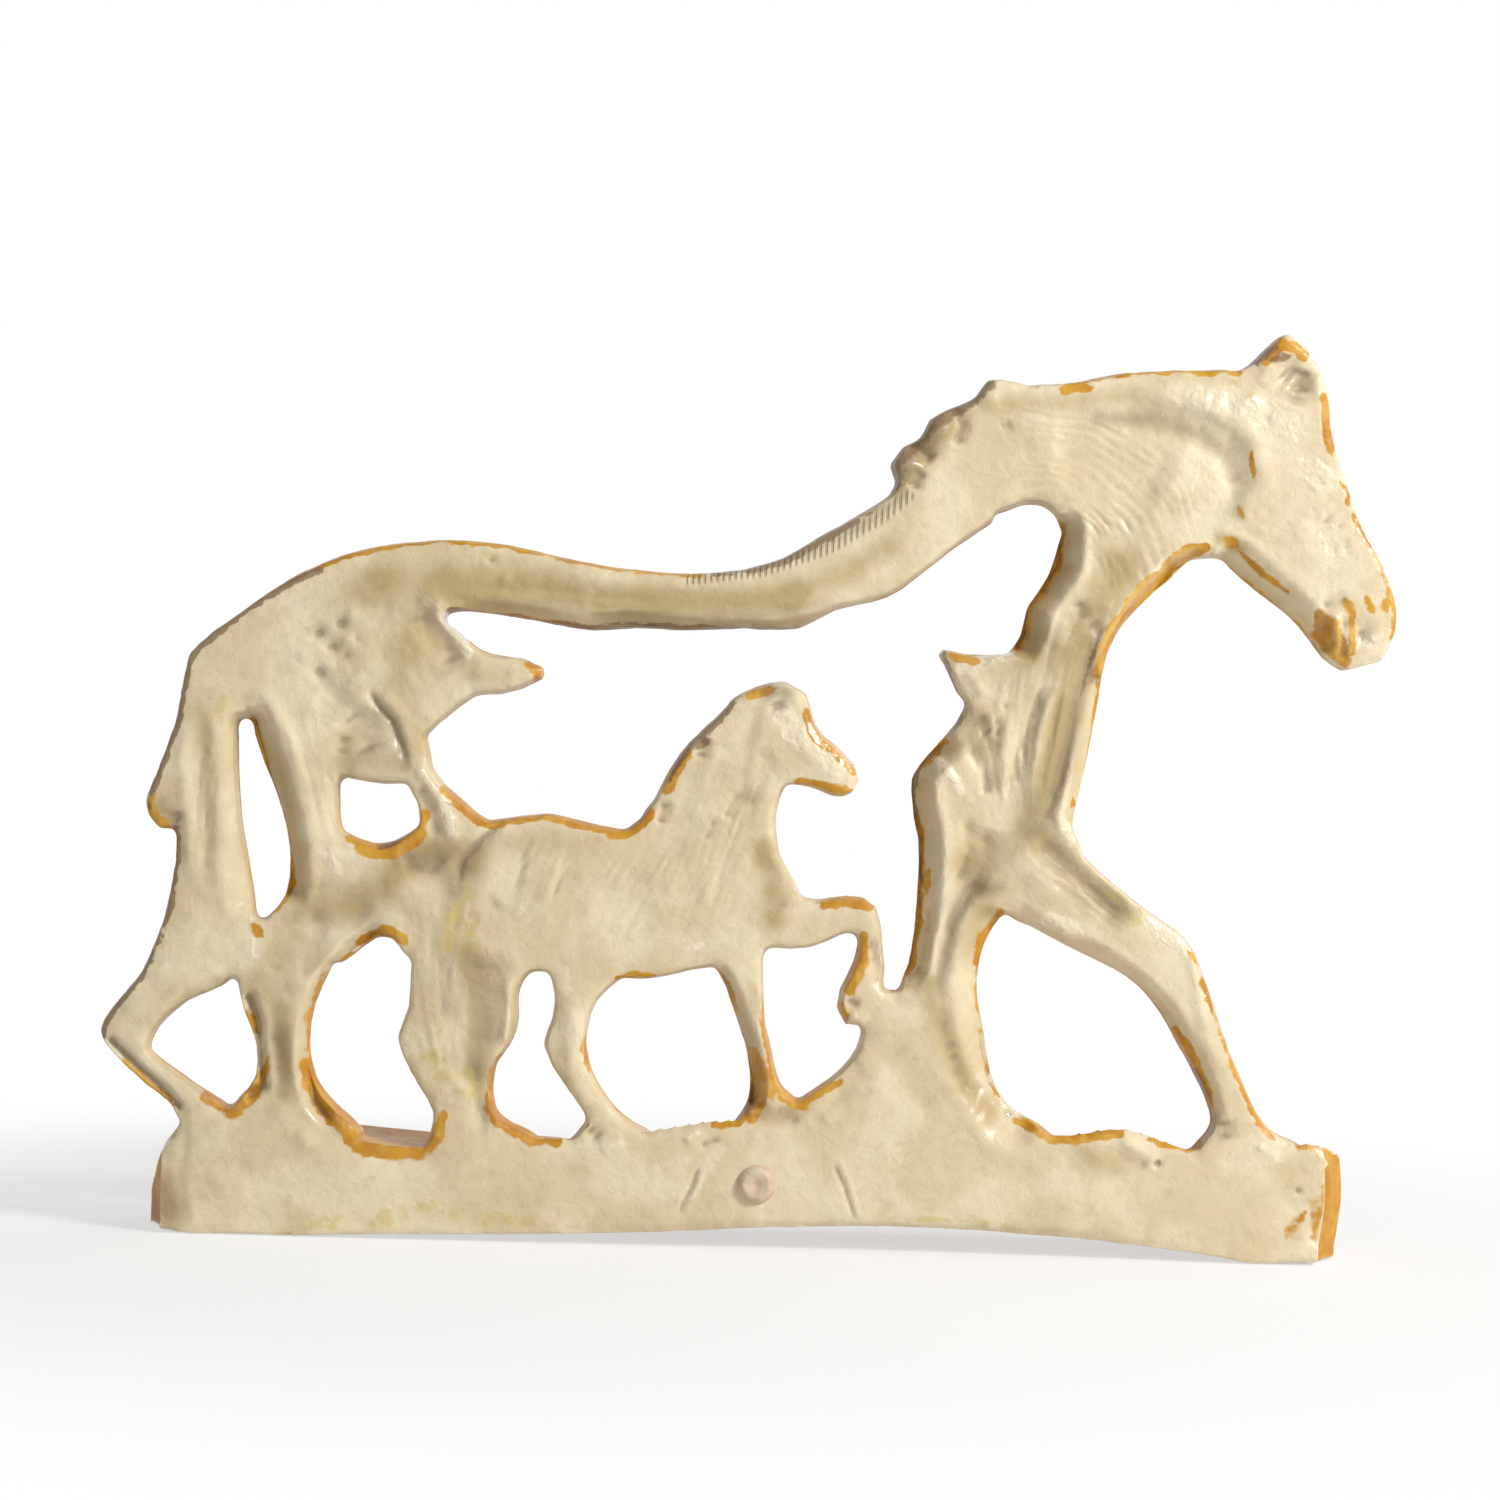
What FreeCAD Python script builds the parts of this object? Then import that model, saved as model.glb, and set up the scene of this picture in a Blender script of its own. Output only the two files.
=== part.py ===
"""Openwork mare-and-foal figurine on a slab base, cast in one with a flat, hollowed rear.

The rear face looks along -Y, the relief along +Y, the mare walks towards +X and Z is up.
Each limb is skinned over sections. A station joins two opposite points of the silhouette and gives
the crest between them, smooth curves run from station to station, and every few millimetres along them
stands a section: half an ellipse towards the relief side, straight bevelled sides and a flat rear.
A limb is rooted inside the larger mass that carries it and is trimmed by it, so that neighbours meet
face to face. All faces are plane, which keeps the openwork light.
"""

import FreeCAD
import Part

import math
import os

# Driving dimensions, in millimetres.
LENGTH = 280.0  # trailing hock to muzzle
HEIGHT = 202.0  # foot of the base to the tip of the ears
BASE_DEPTH = 42.0  # rear face to the foremost edge of the base
WAIST_DEPTH = 7.0  # rear face to the plane where every limb is widest
RELIEF_HEIGHT = 16.0  # widest plane to the crest of the thickest muscle
RIM_INSET = 1.2  # how far the rear face of a limb stands inside its silhouette
BASE_CORNER = 6.0  # bevel of the base's upper front edge
FACET_LENGTH = 5.0  # greatest distance between two sections of a limb
NUB_RADIUS = 4.0  # stub of the filling channel on the rear of the base
NUB_HEIGHT = 1.8  # how far that stub stands proud
NUB_CREST_RADIUS = 2.4  # flat end of the stub
HOLLOW_OVERRUN = 2.0  # how far the body of a hollow runs out of the rear face

# Places on the silhouette are in thousandths: the first number of LENGTH, the second of HEIGHT.
THOUSAND = 1000.0
CREST_FACETS = 6  # facets over the crest of a section
NUB_SIDES = 16

REAR_Y = (NUB_HEIGHT - BASE_DEPTH) / 2
FRONT_Y = REAR_Y + BASE_DEPTH
WAIST_Y = REAR_Y + WAIST_DEPTH
DEPTHWAYS = FreeCAD.Vector(0, 1, 0)
UPWARDS = FreeCAD.Vector(0, 0, 1)

# Stations of each limb: a point on one side, the opposite point, and the crest as a share of RELIEF_HEIGHT.
HINDQUARTERS_SHARES = [
    ((57, 604), (84, 576), 0.45),
    ((66, 633), (108, 552), 0.62),
    ((92, 662), (130, 520), 0.8),
    ((124, 695), (152, 497), 0.93),
    ((158, 723), (182, 494), 1.0),
    ((196, 742), (216, 488), 0.95),
    ((232, 752), (246, 492), 0.72),
]
FLANK_SPUR_SHARES = [
    ((240, 690), (238, 530), 0.55),
    ((266, 658), (262, 562), 0.55),
    ((286, 636), (284, 586), 0.42),
    ((304, 630), (303, 588), 0.34),
    ((321, 628), (320, 595), 0.28),
    ((335, 619), (335, 607), 0.16),
]
FLANK_STRAND_SHARES = [
    ((224, 512), (248, 540), 0.5),
    ((236, 481), (252, 506), 0.4),
    ((242, 467), (262, 489), 0.36),
    ((243, 452), (274, 475), 0.36),
    ((246, 436), (287, 460), 0.4),
    ((258, 414), (302, 448), 0.5),
]
TAIL_SHARES = [
    ((60, 626), (100, 600), 0.62),
    ((56, 595), (88, 572), 0.66),
    ((53, 562), (82, 545), 0.68),
    ((45, 522), (76, 510), 0.68),
    ((36, 489), (70, 480), 0.64),
    ((29, 463), (63, 458), 0.56),
    ((32, 447), (58, 444), 0.46),
    ((42, 434), (54, 434), 0.28),
]
TRAILING_HIND_LEG_SHARES = [
    ((62, 610), (106, 596), 0.5),
    ((62, 566), (100, 558), 0.52),
    ((58, 505), (100, 508), 0.52),
    ((55, 440), (104, 450), 0.52),
    ((54, 396), (112, 392), 0.5),
    ((49, 350), (118, 344), 0.5),
    ((40, 312), (118, 304), 0.5),
    ((29, 276), (94, 270), 0.46),
    ((12, 246), (66, 248), 0.42),
    ((1, 222), (46, 222), 0.42),
    ((2, 204), (38, 198), 0.4),
    ((15, 184), (42, 188), 0.36),
    ((36, 157), (60, 166), 0.34),
    ((55, 136), (82, 150), 0.36),
    ((70, 100), (116, 124), 0.48),
]
NEAR_HIND_LEG_SHARES = [
    ((102, 580), (182, 540), 0.8),
    ((112, 540), (180, 488), 0.76),
    ((131, 474), (181, 450), 0.68),
    ((142, 424), (187, 420), 0.62),
    ((141, 366), (188, 378), 0.6),
    ((118, 326), (186, 334), 0.57),
    ((106, 284), (177, 286), 0.53),
    ((109, 248), (165, 248), 0.49),
    ((121, 204), (162, 206), 0.46),
    ((121, 168), (168, 168), 0.47),
    ((108, 143), (186, 138), 0.53),
    ((92, 118), (208, 112), 0.62),
]
THIGH_BRIDGE_SHARES = [
    ((174, 446), (168, 296), 0.4),
    ((188, 434), (185, 293), 0.38),
    ((200, 427), (200, 309), 0.36),
    ((211, 423), (213, 322), 0.36),
    ((223, 426), (225, 321), 0.38),
    ((236, 436), (234, 306), 0.42),
    ((250, 452), (246, 286), 0.46),
]
BACK_SHARES = [
    ((218, 748), (228, 660), 0.6),
    ((246, 753), (252, 672), 0.58),
    ((274, 754), (278, 677), 0.54),
    ((310, 749), (312, 673), 0.5),
    ((345, 740), (345, 666), 0.48),
    ((375, 732), (372, 661), 0.46),
    ((410, 727), (408, 664), 0.46),
    ((450, 725), (450, 664), 0.46),
    ((490, 731), (494, 667), 0.48),
]
WITHERS_SHARES = [
    ((490, 731), (494, 667), 0.48),
    ((522, 745), (534, 669), 0.52),
    ((548, 768), (562, 690), 0.56),
    ((576, 791), (603, 706), 0.6),
    ((600, 814), (632, 735), 0.66),
    ((622, 846), (658, 762), 0.72),
    ((650, 884), (684, 792), 0.76),
]
MANE_SHARES = [
    ((600, 812), (634, 786), 0.72),
    ((607, 829), (642, 806), 0.78),
    ((602, 849), (648, 824), 0.86),
    ((612, 869), (656, 842), 0.88),
    ((625, 878), (664, 858), 0.82),
    ((632, 898), (674, 872), 0.9),
    ((649, 912), (686, 884), 0.92),
    ((667, 924), (698, 894), 0.86),
    ((676, 943), (708, 902), 0.9),
    ((694, 943), (718, 908), 0.86),
    ((712, 937), (728, 914), 0.74),
]
NECK_SHARES = [
    ((634, 878), (662, 790), 0.66),
    ((668, 922), (687, 802), 0.82),
    ((702, 938), (712, 812), 0.9),
    ((726, 941), (732, 800), 0.94),
    ((748, 945), (748, 750), 0.96),
    ((780, 955), (776, 716), 0.96),
    ((814, 959), (810, 724), 0.94),
    ((844, 961), (838, 756), 0.9),
    ((872, 962), (866, 756), 0.84),
]
HEAD_SHARES = [
    ((939, 954), (868, 960), 0.66),
    ((944, 928), (862, 900), 0.84),
    ((945, 900), (857, 826), 0.94),
    ((952, 864), (855, 770), 0.92),
    ((965, 825), (870, 748), 0.82),
    ((978, 786), (891, 724), 0.74),
    ((991, 748), (914, 701), 0.66),
    ((999, 712), (931, 678), 0.6),
    ((999, 682), (944, 655), 0.56),
    ((989, 652), (960, 643), 0.44),
]
EARS_SHARES = [
    ((868, 960), (939, 954), 0.66),
    ((880, 968), (935, 966), 0.56),
    ((890, 982), (928, 979), 0.46),
    ((899, 994), (917, 993), 0.3),
    ((904, 1000), (910, 1000), 0.14),
]
SHOULDER_SHARES = [
    ((740, 790), (846, 772), 0.88),
    ((728, 732), (816, 733), 0.92),
    ((713, 700), (795, 700), 0.94),
    ((708, 668), (779, 665), 0.96),
    ((694, 640), (770, 630), 0.98),
    ((672, 608), (767, 596), 1.0),
    ((660, 572), (764, 556), 1.0),
    ((641, 540), (760, 524), 0.96),
    ((627, 512), (756, 496), 0.9),
    ((627, 484), (752, 462), 0.84),
    ((631, 452), (762, 430), 0.76),
    ((640, 424), (752, 404), 0.6),
]
ELBOW_SPUR_SHARES = [
    ((722, 660), (700, 588), 0.5),
    ((700, 650), (672, 592), 0.46),
    ((682, 646), (660, 604), 0.4),
    ((666, 646), (655, 618), 0.32),
    ((655, 649), (650, 633), 0.22),
    ((648, 650), (646, 643), 0.12),
]
STRAIGHT_FORELEG_SHARES = [
    ((630, 500), (716, 440), 0.66),
    ((631, 462), (706, 400), 0.62),
    ((634, 420), (700, 368), 0.58),
    ((633, 380), (693, 354), 0.54),
    ((631, 342), (686, 334), 0.5),
    ((628, 310), (681, 308), 0.46),
    ((622, 286), (679, 283), 0.44),
    ((624, 258), (682, 256), 0.44),
    ((630, 230), (687, 230), 0.46),
    ((634, 204), (692, 204), 0.48),
    ((638, 178), (700, 174), 0.5),
    ((640, 152), (718, 150), 0.54),
    ((636, 122), (744, 128), 0.6),
]
STEPPING_FORELEG_SHARES = [
    ((748, 500), (676, 408), 0.8),
    ((751, 456), (702, 368), 0.74),
    ((768, 423), (724, 353), 0.68),
    ((790, 398), (752, 334), 0.62),
    ((813, 374), (780, 317), 0.58),
    ((834, 356), (799, 303), 0.56),
    ((849, 335), (814, 285), 0.54),
    ((858, 306), (826, 266), 0.5),
    ((868, 270), (838, 243), 0.46),
    ((878, 232), (848, 218), 0.44),
    ((889, 198), (856, 194), 0.44),
    ((900, 167), (864, 168), 0.44),
    ((912, 143), (867, 147), 0.46),
    ((932, 124), (856, 124), 0.52),
    ((956, 104), (836, 100), 0.6),
]
MOUND_SHARES = [
    ((594, 280), (634, 280), 0.3),
    ((590, 258), (650, 258), 0.36),
    ((592, 232), (658, 232), 0.4),
    ((584, 206), (664, 206), 0.42),
    ((566, 180), (672, 180), 0.44),
    ((544, 158), (684, 158), 0.48),
    ((524, 134), (700, 134), 0.54),
    ((508, 108), (716, 108), 0.6),
]
FOAL_BARREL_SHARES = [
    ((243, 424), (240, 352), 0.44),
    ((262, 440), (256, 318), 0.56),
    ((284, 447), (284, 296), 0.66),
    ((312, 455), (314, 288), 0.7),
    ((345, 461), (348, 291), 0.7),
    ((380, 451), (386, 287), 0.68),
    ((408, 446), (422, 287), 0.66),
    ((440, 450), (456, 297), 0.66),
    ((474, 452), (488, 305), 0.66),
    ((504, 446), (514, 322), 0.62),
    ((526, 420), (536, 322), 0.54),
    ((540, 384), (550, 326), 0.44),
]
FOAL_NECK_SHARES = [
    ((414, 420), (530, 384), 0.62),
    ((413, 453), (524, 424), 0.6),
    ((426, 481), (519, 452), 0.56),
    ((437, 514), (520, 474), 0.52),
    ((452, 543), (527, 497), 0.5),
    ((470, 567), (540, 520), 0.5),
    ((484, 590), (548, 545), 0.48),
]
FOAL_MANE_SHARES = [
    ((404, 447), (424, 438), 0.5),
    ((419, 464), (441, 455), 0.62),
    ((430, 494), (454, 486), 0.66),
    ((443, 526), (468, 516), 0.64),
    ((459, 552), (484, 540), 0.64),
    ((474, 572), (499, 558), 0.62),
    ((483, 591), (510, 576), 0.54),
]
FOAL_HEAD_SHARES = [
    ((488, 596), (506, 506), 0.44),
    ((503, 605), (518, 499), 0.52),
    ((525, 611), (528, 499), 0.56),
    ((540, 598), (534, 500), 0.54),
    ((546, 573), (544, 499), 0.5),
    ((556, 551), (555, 494), 0.44),
    ((569, 536), (564, 489), 0.4),
    ((580, 523), (572, 488), 0.36),
    ((584, 508), (579, 493), 0.26),
]
FOAL_TAIL_SHARES = [
    ((244, 410), (292, 396), 0.42),
    ((241, 350), (296, 345), 0.44),
    ((240, 292), (298, 292), 0.44),
    ((239, 250), (298, 250), 0.42),
    ((231, 215), (297, 215), 0.42),
    ((240, 185), (296, 185), 0.4),
    ((250, 160), (295, 160), 0.4),
    ((261, 132), (295, 134), 0.42),
    ((256, 104), (300, 104), 0.46),
]
FOAL_FAR_HIND_LEG_SHARES = [
    ((286, 330), (348, 304), 0.5),
    ((290, 298), (332, 288), 0.46),
    ((292, 268), (324, 266), 0.42),
    ((292, 238), (324, 240), 0.38),
    ((291, 212), (318, 213), 0.34),
    ((290, 190), (308, 190), 0.32),
    ((290, 166), (306, 168), 0.32),
    ((290, 142), (309, 141), 0.34),
    ((286, 124), (322, 124), 0.4),
    ((280, 102), (350, 106), 0.48),
]
FOAL_NEAR_HIND_LEG_SHARES = [
    ((332, 318), (424, 306), 0.6),
    ((346, 292), (402, 284), 0.56),
    ((353, 264), (385, 260), 0.5),
    ((351, 238), (378, 236), 0.44),
    ((345, 211), (377, 212), 0.42),
    ((352, 191), (382, 189), 0.38),
    ((364, 168), (390, 168), 0.36),
    ((375, 147), (401, 147), 0.36),
    ((380, 130), (415, 130), 0.42),
    ((366, 108), (440, 112), 0.5),
]
FOAL_STANDING_FORELEG_SHARES = [
    ((466, 318), (520, 340), 0.54),
    ((482, 290), (514, 310), 0.48),
    ((489, 269), (515, 280), 0.42),
    ((497, 245), (517, 250), 0.38),
    ((503, 222), (521, 224), 0.36),
    ((506, 196), (525, 196), 0.34),
    ((507, 170), (532, 172), 0.36),
    ((502, 146), (546, 158), 0.42),
    ((486, 118), (566, 132), 0.5),
]
FOAL_RAISED_FORELEG_SHARES = [
    ((520, 404), (500, 330), 0.5),
    ((542, 380), (522, 326), 0.48),
    ((558, 377), (544, 323), 0.44),
    ((576, 381), (562, 331), 0.42),
    ((591, 380), (576, 341), 0.4),
    ((601, 370), (586, 341), 0.38),
    ((605, 350), (588, 332), 0.36),
    ((607, 326), (586, 314), 0.34),
    ((609, 302), (580, 294), 0.32),
    ((608, 282), (575, 280), 0.32),
    ((602, 264), (573, 260), 0.3),
    ((598, 246), (580, 242), 0.24),
]

# Hollows in the rear face: the share of the limb's width that is scooped out, and how deep.
HOLLOW_WIDTH_SHARE = 0.72
HOLLOW_BOTTOM_SHARE = 0.36
DEEP_HOLLOW = 4.0
SHALLOW_HOLLOW = 1.6

# Stations along the base: place along LENGTH in thousandths, how far the rear and the front stand back
# from the full depth as shares of BASE_DEPTH, and the height of the top at the rear, of the top at the
# front and of the underside in thousandths of HEIGHT. The underside bridges between the two ends.
BASE_SHARES = [
    (36, 0.42, 0.2, 36, 30, 0),
    (46, 0.24, 0.1, 78, 58, 0),
    (66, 0.0, 0.04, 118, 92, 0),
    (100, 0.0, 0.0, 134, 104, 0),
    (150, 0.0, 0.0, 122, 108, 0),
    (225, 0.0, 0.03, 97, 102, 4),
    (300, 0.0, 0.0, 106, 100, 7),
    (380, 0.0, 0.02, 113, 96, 11),
    (450, 0.0, 0.0, 126, 104, 16),
    (540, 0.0, 0.03, 146, 116, 24),
    (640, 0.0, 0.0, 150, 122, 28),
    (740, 0.0, 0.02, 128, 112, 23),
    (800, 0.0, 0.0, 133, 106, 17),
    (860, 0.0, 0.02, 118, 104, 8),
    (900, 0.0, 0.0, 118, 102, 0),
    (940, 0.06, 0.05, 124, 98, 0),
    (971, 0.34, 0.24, 110, 84, 0),
]
BASE_FLARE_SHARE = 0.1  # how far the top of the front stands back from its foot, as a share of BASE_DEPTH

NUB_PLACE_SHARES = (514, 70)


def place(along, up, depth=WAIST_Y):
    """Turns a place in thousandths of the silhouette into a point at the given depth."""
    return FreeCAD.Vector(LENGTH * (along / THOUSAND - 1 / 2), depth, HEIGHT * up / THOUSAND)


def between(rows, index, share):
    """Row of numbers at a share of the way from rows[index] to the next, on a smooth curve."""
    before = rows[max(index - 1, 0)]
    after = rows[min(index + 2, len(rows) - 1)]
    mixed = []
    for a, b, c, d in zip(before, rows[index], rows[index + 1], after):
        bend = (2 * a - 5 * b + 4 * c - d) * share**2 + (3 * b - a - 3 * c + d) * share**3
        mixed.append(b + ((c - a) * share + bend) / 2)
    return mixed


def smoothed(rows, reach):
    """Rows along a smooth curve through the given ones, reach() saying how far two of them are apart."""
    fine = []
    for index in range(len(rows) - 1):
        steps = math.ceil(reach(rows[index], rows[index + 1]) / FACET_LENGTH)
        for step in range(steps):
            fine.append(between(rows, index, step / steps))
    fine.append(rows[-1])
    return fine


def skinned(rings):
    """Solid with plane triangles between successive rings of points, and a plane cap on each end."""
    faces = []
    count = len(rings[0])
    for first, second in zip(rings, rings[1:]):
        for k in range(count):
            n = (k + 1) % count
            for corners in ([first[k], first[n], second[n]], [first[k], second[n], second[k]]):
                faces.append(Part.Face(Part.makePolygon(corners + corners[:1])))
    for ring in (rings[0], rings[-1]):
        faces.append(Part.Face(Part.makePolygon(ring + ring[:1])))
    solid = Part.makeSolid(Part.makeShell(faces))
    if solid.Volume < 0:
        solid.reverse()
    return solid.removeSplitter()


def station_rows(stations):
    """Each station as a plain row: both ends in thousandths, then the crest."""
    return [near + far + (crest,) for near, far, crest in stations]


def station_reach(first, second):
    """Longer of the two ways from one station to the next, along the silhouette."""
    near_way = (place(*first[0:2]) - place(*second[0:2])).Length
    far_way = (place(*first[2:4]) - place(*second[2:4])).Length
    return max(near_way, far_way)


def limb(stations):
    """Limb through its stations, before it is trimmed."""
    rings = []
    for near_x, near_z, far_x, far_z, crest in smoothed(station_rows(stations), station_reach):
        near = place(near_x, near_z)
        far = place(far_x, far_z)
        centre = (near + far) / 2
        half = (far - near) / 2
        inner = half * max(1 - RIM_INSET / half.Length, 1 / 2)
        ring = []
        for k in range(CREST_FACETS + 1):
            turn = math.pi * k / CREST_FACETS
            rise = DEPTHWAYS * (math.sin(turn) * crest * RELIEF_HEIGHT)
            ring.append(centre + half * math.cos(turn) + rise)
        ring.append(centre - inner - DEPTHWAYS * WAIST_DEPTH)
        ring.append(centre + inner - DEPTHWAYS * WAIST_DEPTH)
        rings.append(ring)
    return skinned(rings)


def hollow(stations, depth):
    """Body of the shallow trough along a limb's rear, which runs out to nothing at both ends."""
    rings = []
    rows = station_rows(stations)
    for index, (near_x, near_z, far_x, far_z, _) in enumerate(rows):
        near = place(near_x, near_z, REAR_Y)
        far = place(far_x, far_z, REAR_Y)
        centre = (near + far) / 2
        half = (far - near) / 2
        deep = DEPTHWAYS * (depth * math.sin(math.pi * index / (len(rows) - 1)))
        mouth = half * HOLLOW_WIDTH_SHARE
        bottom = half * HOLLOW_BOTTOM_SHARE
        lip = DEPTHWAYS * -HOLLOW_OVERRUN
        rings.append([centre + mouth + lip, centre + bottom + deep, centre - bottom + deep, centre - mouth + lip])
    return skinned(rings)


def largest(shape):
    """The main solid of a trimmed limb."""
    return max(shape.Solids, key=lambda solid: solid.Volume)


def base_slab():
    """Ground slab, skinned along the length, flat at the rear and with a bridged underside."""
    rings = []
    for along, rear_share, front_share, rear_top, front_top, under in smoothed(BASE_SHARES, base_reach):
        rear = REAR_Y + max(rear_share, 0) * BASE_DEPTH
        foot = FRONT_Y - max(front_share, 0) * BASE_DEPTH
        brow = foot - BASE_FLARE_SHARE * BASE_DEPTH
        low = place(along, front_top, brow)
        bevel = min(BASE_CORNER, low.z / 2)
        bottom = max(under, 0)
        rings.append([
            place(along, bottom, rear),
            place(along, rear_top, rear),
            low - DEPTHWAYS * bevel,
            low - UPWARDS * bevel,
            place(along, bottom, foot),
        ])
    return skinned(rings)


def base_reach(first, second):
    """Way along the base from one station to the next."""
    return (place(second[0], 0) - place(first[0], 0)).Length


def casting_nub():
    """Stub of the filling channel, a low cone that stands on the rear of the base."""
    rings = []
    for radius, height in ((NUB_RADIUS, 0), (NUB_CREST_RADIUS, NUB_HEIGHT)):
        centre = place(*NUB_PLACE_SHARES, REAR_Y - height)
        ring = []
        for k in range(NUB_SIDES):
            turn = 2 * math.pi * k / NUB_SIDES
            ring.append(centre + FreeCAD.Vector(radius * math.cos(turn), 0, radius * math.sin(turn)))
        rings.append(ring)
    return skinned(rings)


# Each limb with its stations, the larger pieces that trim it and the depth of its rear hollow.
LIMBS = [
    ("mare_hindquarters", HINDQUARTERS_SHARES, [], DEEP_HOLLOW),
    ("mare_shoulder", SHOULDER_SHARES, [], DEEP_HOLLOW),
    ("mare_neck", NECK_SHARES, ["mare_shoulder"], DEEP_HOLLOW),
    ("mare_head", HEAD_SHARES, ["mare_neck"], 0),
    ("mare_ears", EARS_SHARES, ["mare_neck"], 0),
    ("mare_mane", MANE_SHARES, ["mare_neck"], 0),
    ("mare_withers", WITHERS_SHARES, ["mare_neck", "mare_mane"], SHALLOW_HOLLOW),
    ("mare_back", BACK_SHARES, ["mare_hindquarters"], SHALLOW_HOLLOW),
    ("mare_flank_spur", FLANK_SPUR_SHARES, ["mare_hindquarters", "mare_back"], 0),
    ("mare_tail", TAIL_SHARES, ["mare_hindquarters"], 0),
    ("mare_near_hind_leg", NEAR_HIND_LEG_SHARES, ["mare_hindquarters", "base_slab"], 0),
    (
        "mare_trailing_hind_leg",
        TRAILING_HIND_LEG_SHARES,
        ["mare_hindquarters", "mare_tail", "mare_near_hind_leg", "base_slab"],
        0,
    ),
    ("mare_elbow_spur", ELBOW_SPUR_SHARES, ["mare_shoulder"], 0),
    ("mare_straight_foreleg", STRAIGHT_FORELEG_SHARES, ["mare_shoulder", "base_slab"], 0),
    (
        "mare_stepping_foreleg",
        STEPPING_FORELEG_SHARES,
        ["mare_shoulder", "mare_straight_foreleg", "base_slab"],
        SHALLOW_HOLLOW,
    ),
    ("grass_mound", MOUND_SHARES, ["mare_straight_foreleg", "base_slab"], 0),
    ("foal_barrel", FOAL_BARREL_SHARES, [], SHALLOW_HOLLOW),
    ("foal_neck", FOAL_NECK_SHARES, ["foal_barrel"], SHALLOW_HOLLOW),
    ("foal_head", FOAL_HEAD_SHARES, ["foal_neck"], 0),
    ("foal_mane", FOAL_MANE_SHARES, ["foal_neck", "foal_barrel", "foal_head"], 0),
    ("foal_tail", FOAL_TAIL_SHARES, ["foal_barrel", "base_slab"], 0),
    ("foal_far_hind_leg", FOAL_FAR_HIND_LEG_SHARES, ["foal_barrel", "foal_tail", "base_slab"], 0),
    (
        "foal_near_hind_leg",
        FOAL_NEAR_HIND_LEG_SHARES,
        ["foal_barrel", "foal_far_hind_leg", "base_slab"],
        0,
    ),
    (
        "foal_standing_foreleg",
        FOAL_STANDING_FORELEG_SHARES,
        ["foal_barrel", "grass_mound", "base_slab"],
        0,
    ),
    (
        "foal_raised_foreleg",
        FOAL_RAISED_FORELEG_SHARES,
        ["foal_barrel", "foal_neck", "foal_standing_foreleg", "grass_mound"],
        0,
    ),
    (
        "thigh_bridge",
        THIGH_BRIDGE_SHARES,
        ["mare_near_hind_leg", "foal_barrel", "foal_tail"],
        0,
    ),
    (
        "flank_strand",
        FLANK_STRAND_SHARES,
        ["mare_hindquarters", "mare_flank_spur", "foal_barrel", "thigh_bridge"],
        0,
    ),
]


def build():
    """Returns every piece of the casting by name."""
    pieces = {"base_slab": base_slab(), "casting_nub": casting_nub()}
    hollows = {}
    for name, stations, trimmers, depth in LIMBS:
        shape = limb(stations)
        for trimmer in trimmers:
            shape = largest(shape.cut(pieces[trimmer]))
        pieces[name] = shape
        if depth:
            hollows[name] = hollow(stations, depth)
    for name, body in hollows.items():
        pieces[name] = largest(pieces[name].cut(body))
    return pieces


def main():
    """Builds the pieces and writes one file for each."""
    os.makedirs("parts", exist_ok=True)
    for name, piece in build().items():
        piece.exportStep(os.path.join("parts", name + ".step"))
        print(f"{name:26} valid {piece.isValid()} volume {piece.Volume / THOUSAND:7.2f} cm3")


main()
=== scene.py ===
"""Looks of the openwork mare and foal: one glazed casting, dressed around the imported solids."""

import logging
import math
from dataclasses import dataclass, field
from enum import Enum
from functools import partial

import bpy
import numpy as np
from mathutils import Matrix, Vector, kdtree


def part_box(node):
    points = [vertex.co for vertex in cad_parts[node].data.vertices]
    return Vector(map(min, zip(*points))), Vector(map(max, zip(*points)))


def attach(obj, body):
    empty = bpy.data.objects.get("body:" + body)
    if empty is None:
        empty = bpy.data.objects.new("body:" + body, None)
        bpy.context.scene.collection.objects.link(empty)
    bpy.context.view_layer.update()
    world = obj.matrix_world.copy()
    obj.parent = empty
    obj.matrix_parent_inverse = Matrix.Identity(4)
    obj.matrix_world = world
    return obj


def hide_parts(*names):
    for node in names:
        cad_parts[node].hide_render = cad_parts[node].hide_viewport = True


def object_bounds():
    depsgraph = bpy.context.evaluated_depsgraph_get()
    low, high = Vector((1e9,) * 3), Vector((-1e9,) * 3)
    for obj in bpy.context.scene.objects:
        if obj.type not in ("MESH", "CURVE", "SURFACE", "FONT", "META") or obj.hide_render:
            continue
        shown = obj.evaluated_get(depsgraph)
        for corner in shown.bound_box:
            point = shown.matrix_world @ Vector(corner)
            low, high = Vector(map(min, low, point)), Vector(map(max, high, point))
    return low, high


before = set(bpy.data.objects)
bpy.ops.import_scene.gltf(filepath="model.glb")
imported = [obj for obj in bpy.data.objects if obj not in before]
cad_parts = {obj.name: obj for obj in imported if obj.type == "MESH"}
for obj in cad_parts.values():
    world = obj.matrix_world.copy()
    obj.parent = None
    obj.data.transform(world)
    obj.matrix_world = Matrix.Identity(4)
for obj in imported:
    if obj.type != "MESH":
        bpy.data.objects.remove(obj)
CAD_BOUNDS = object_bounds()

LOG = logging.getLogger("figurine")
Pair = tuple[float, float]
Path = tuple[Pair, ...]
Colour = tuple[float, float, float, float]
Array = np.ndarray
Thing = bpy.types.Object
Mesh = bpy.types.Mesh
Material = bpy.types.Material
Node = bpy.types.Node
NodeTree = bpy.types.NodeTree
Socket = bpy.types.NodeSocket

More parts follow.
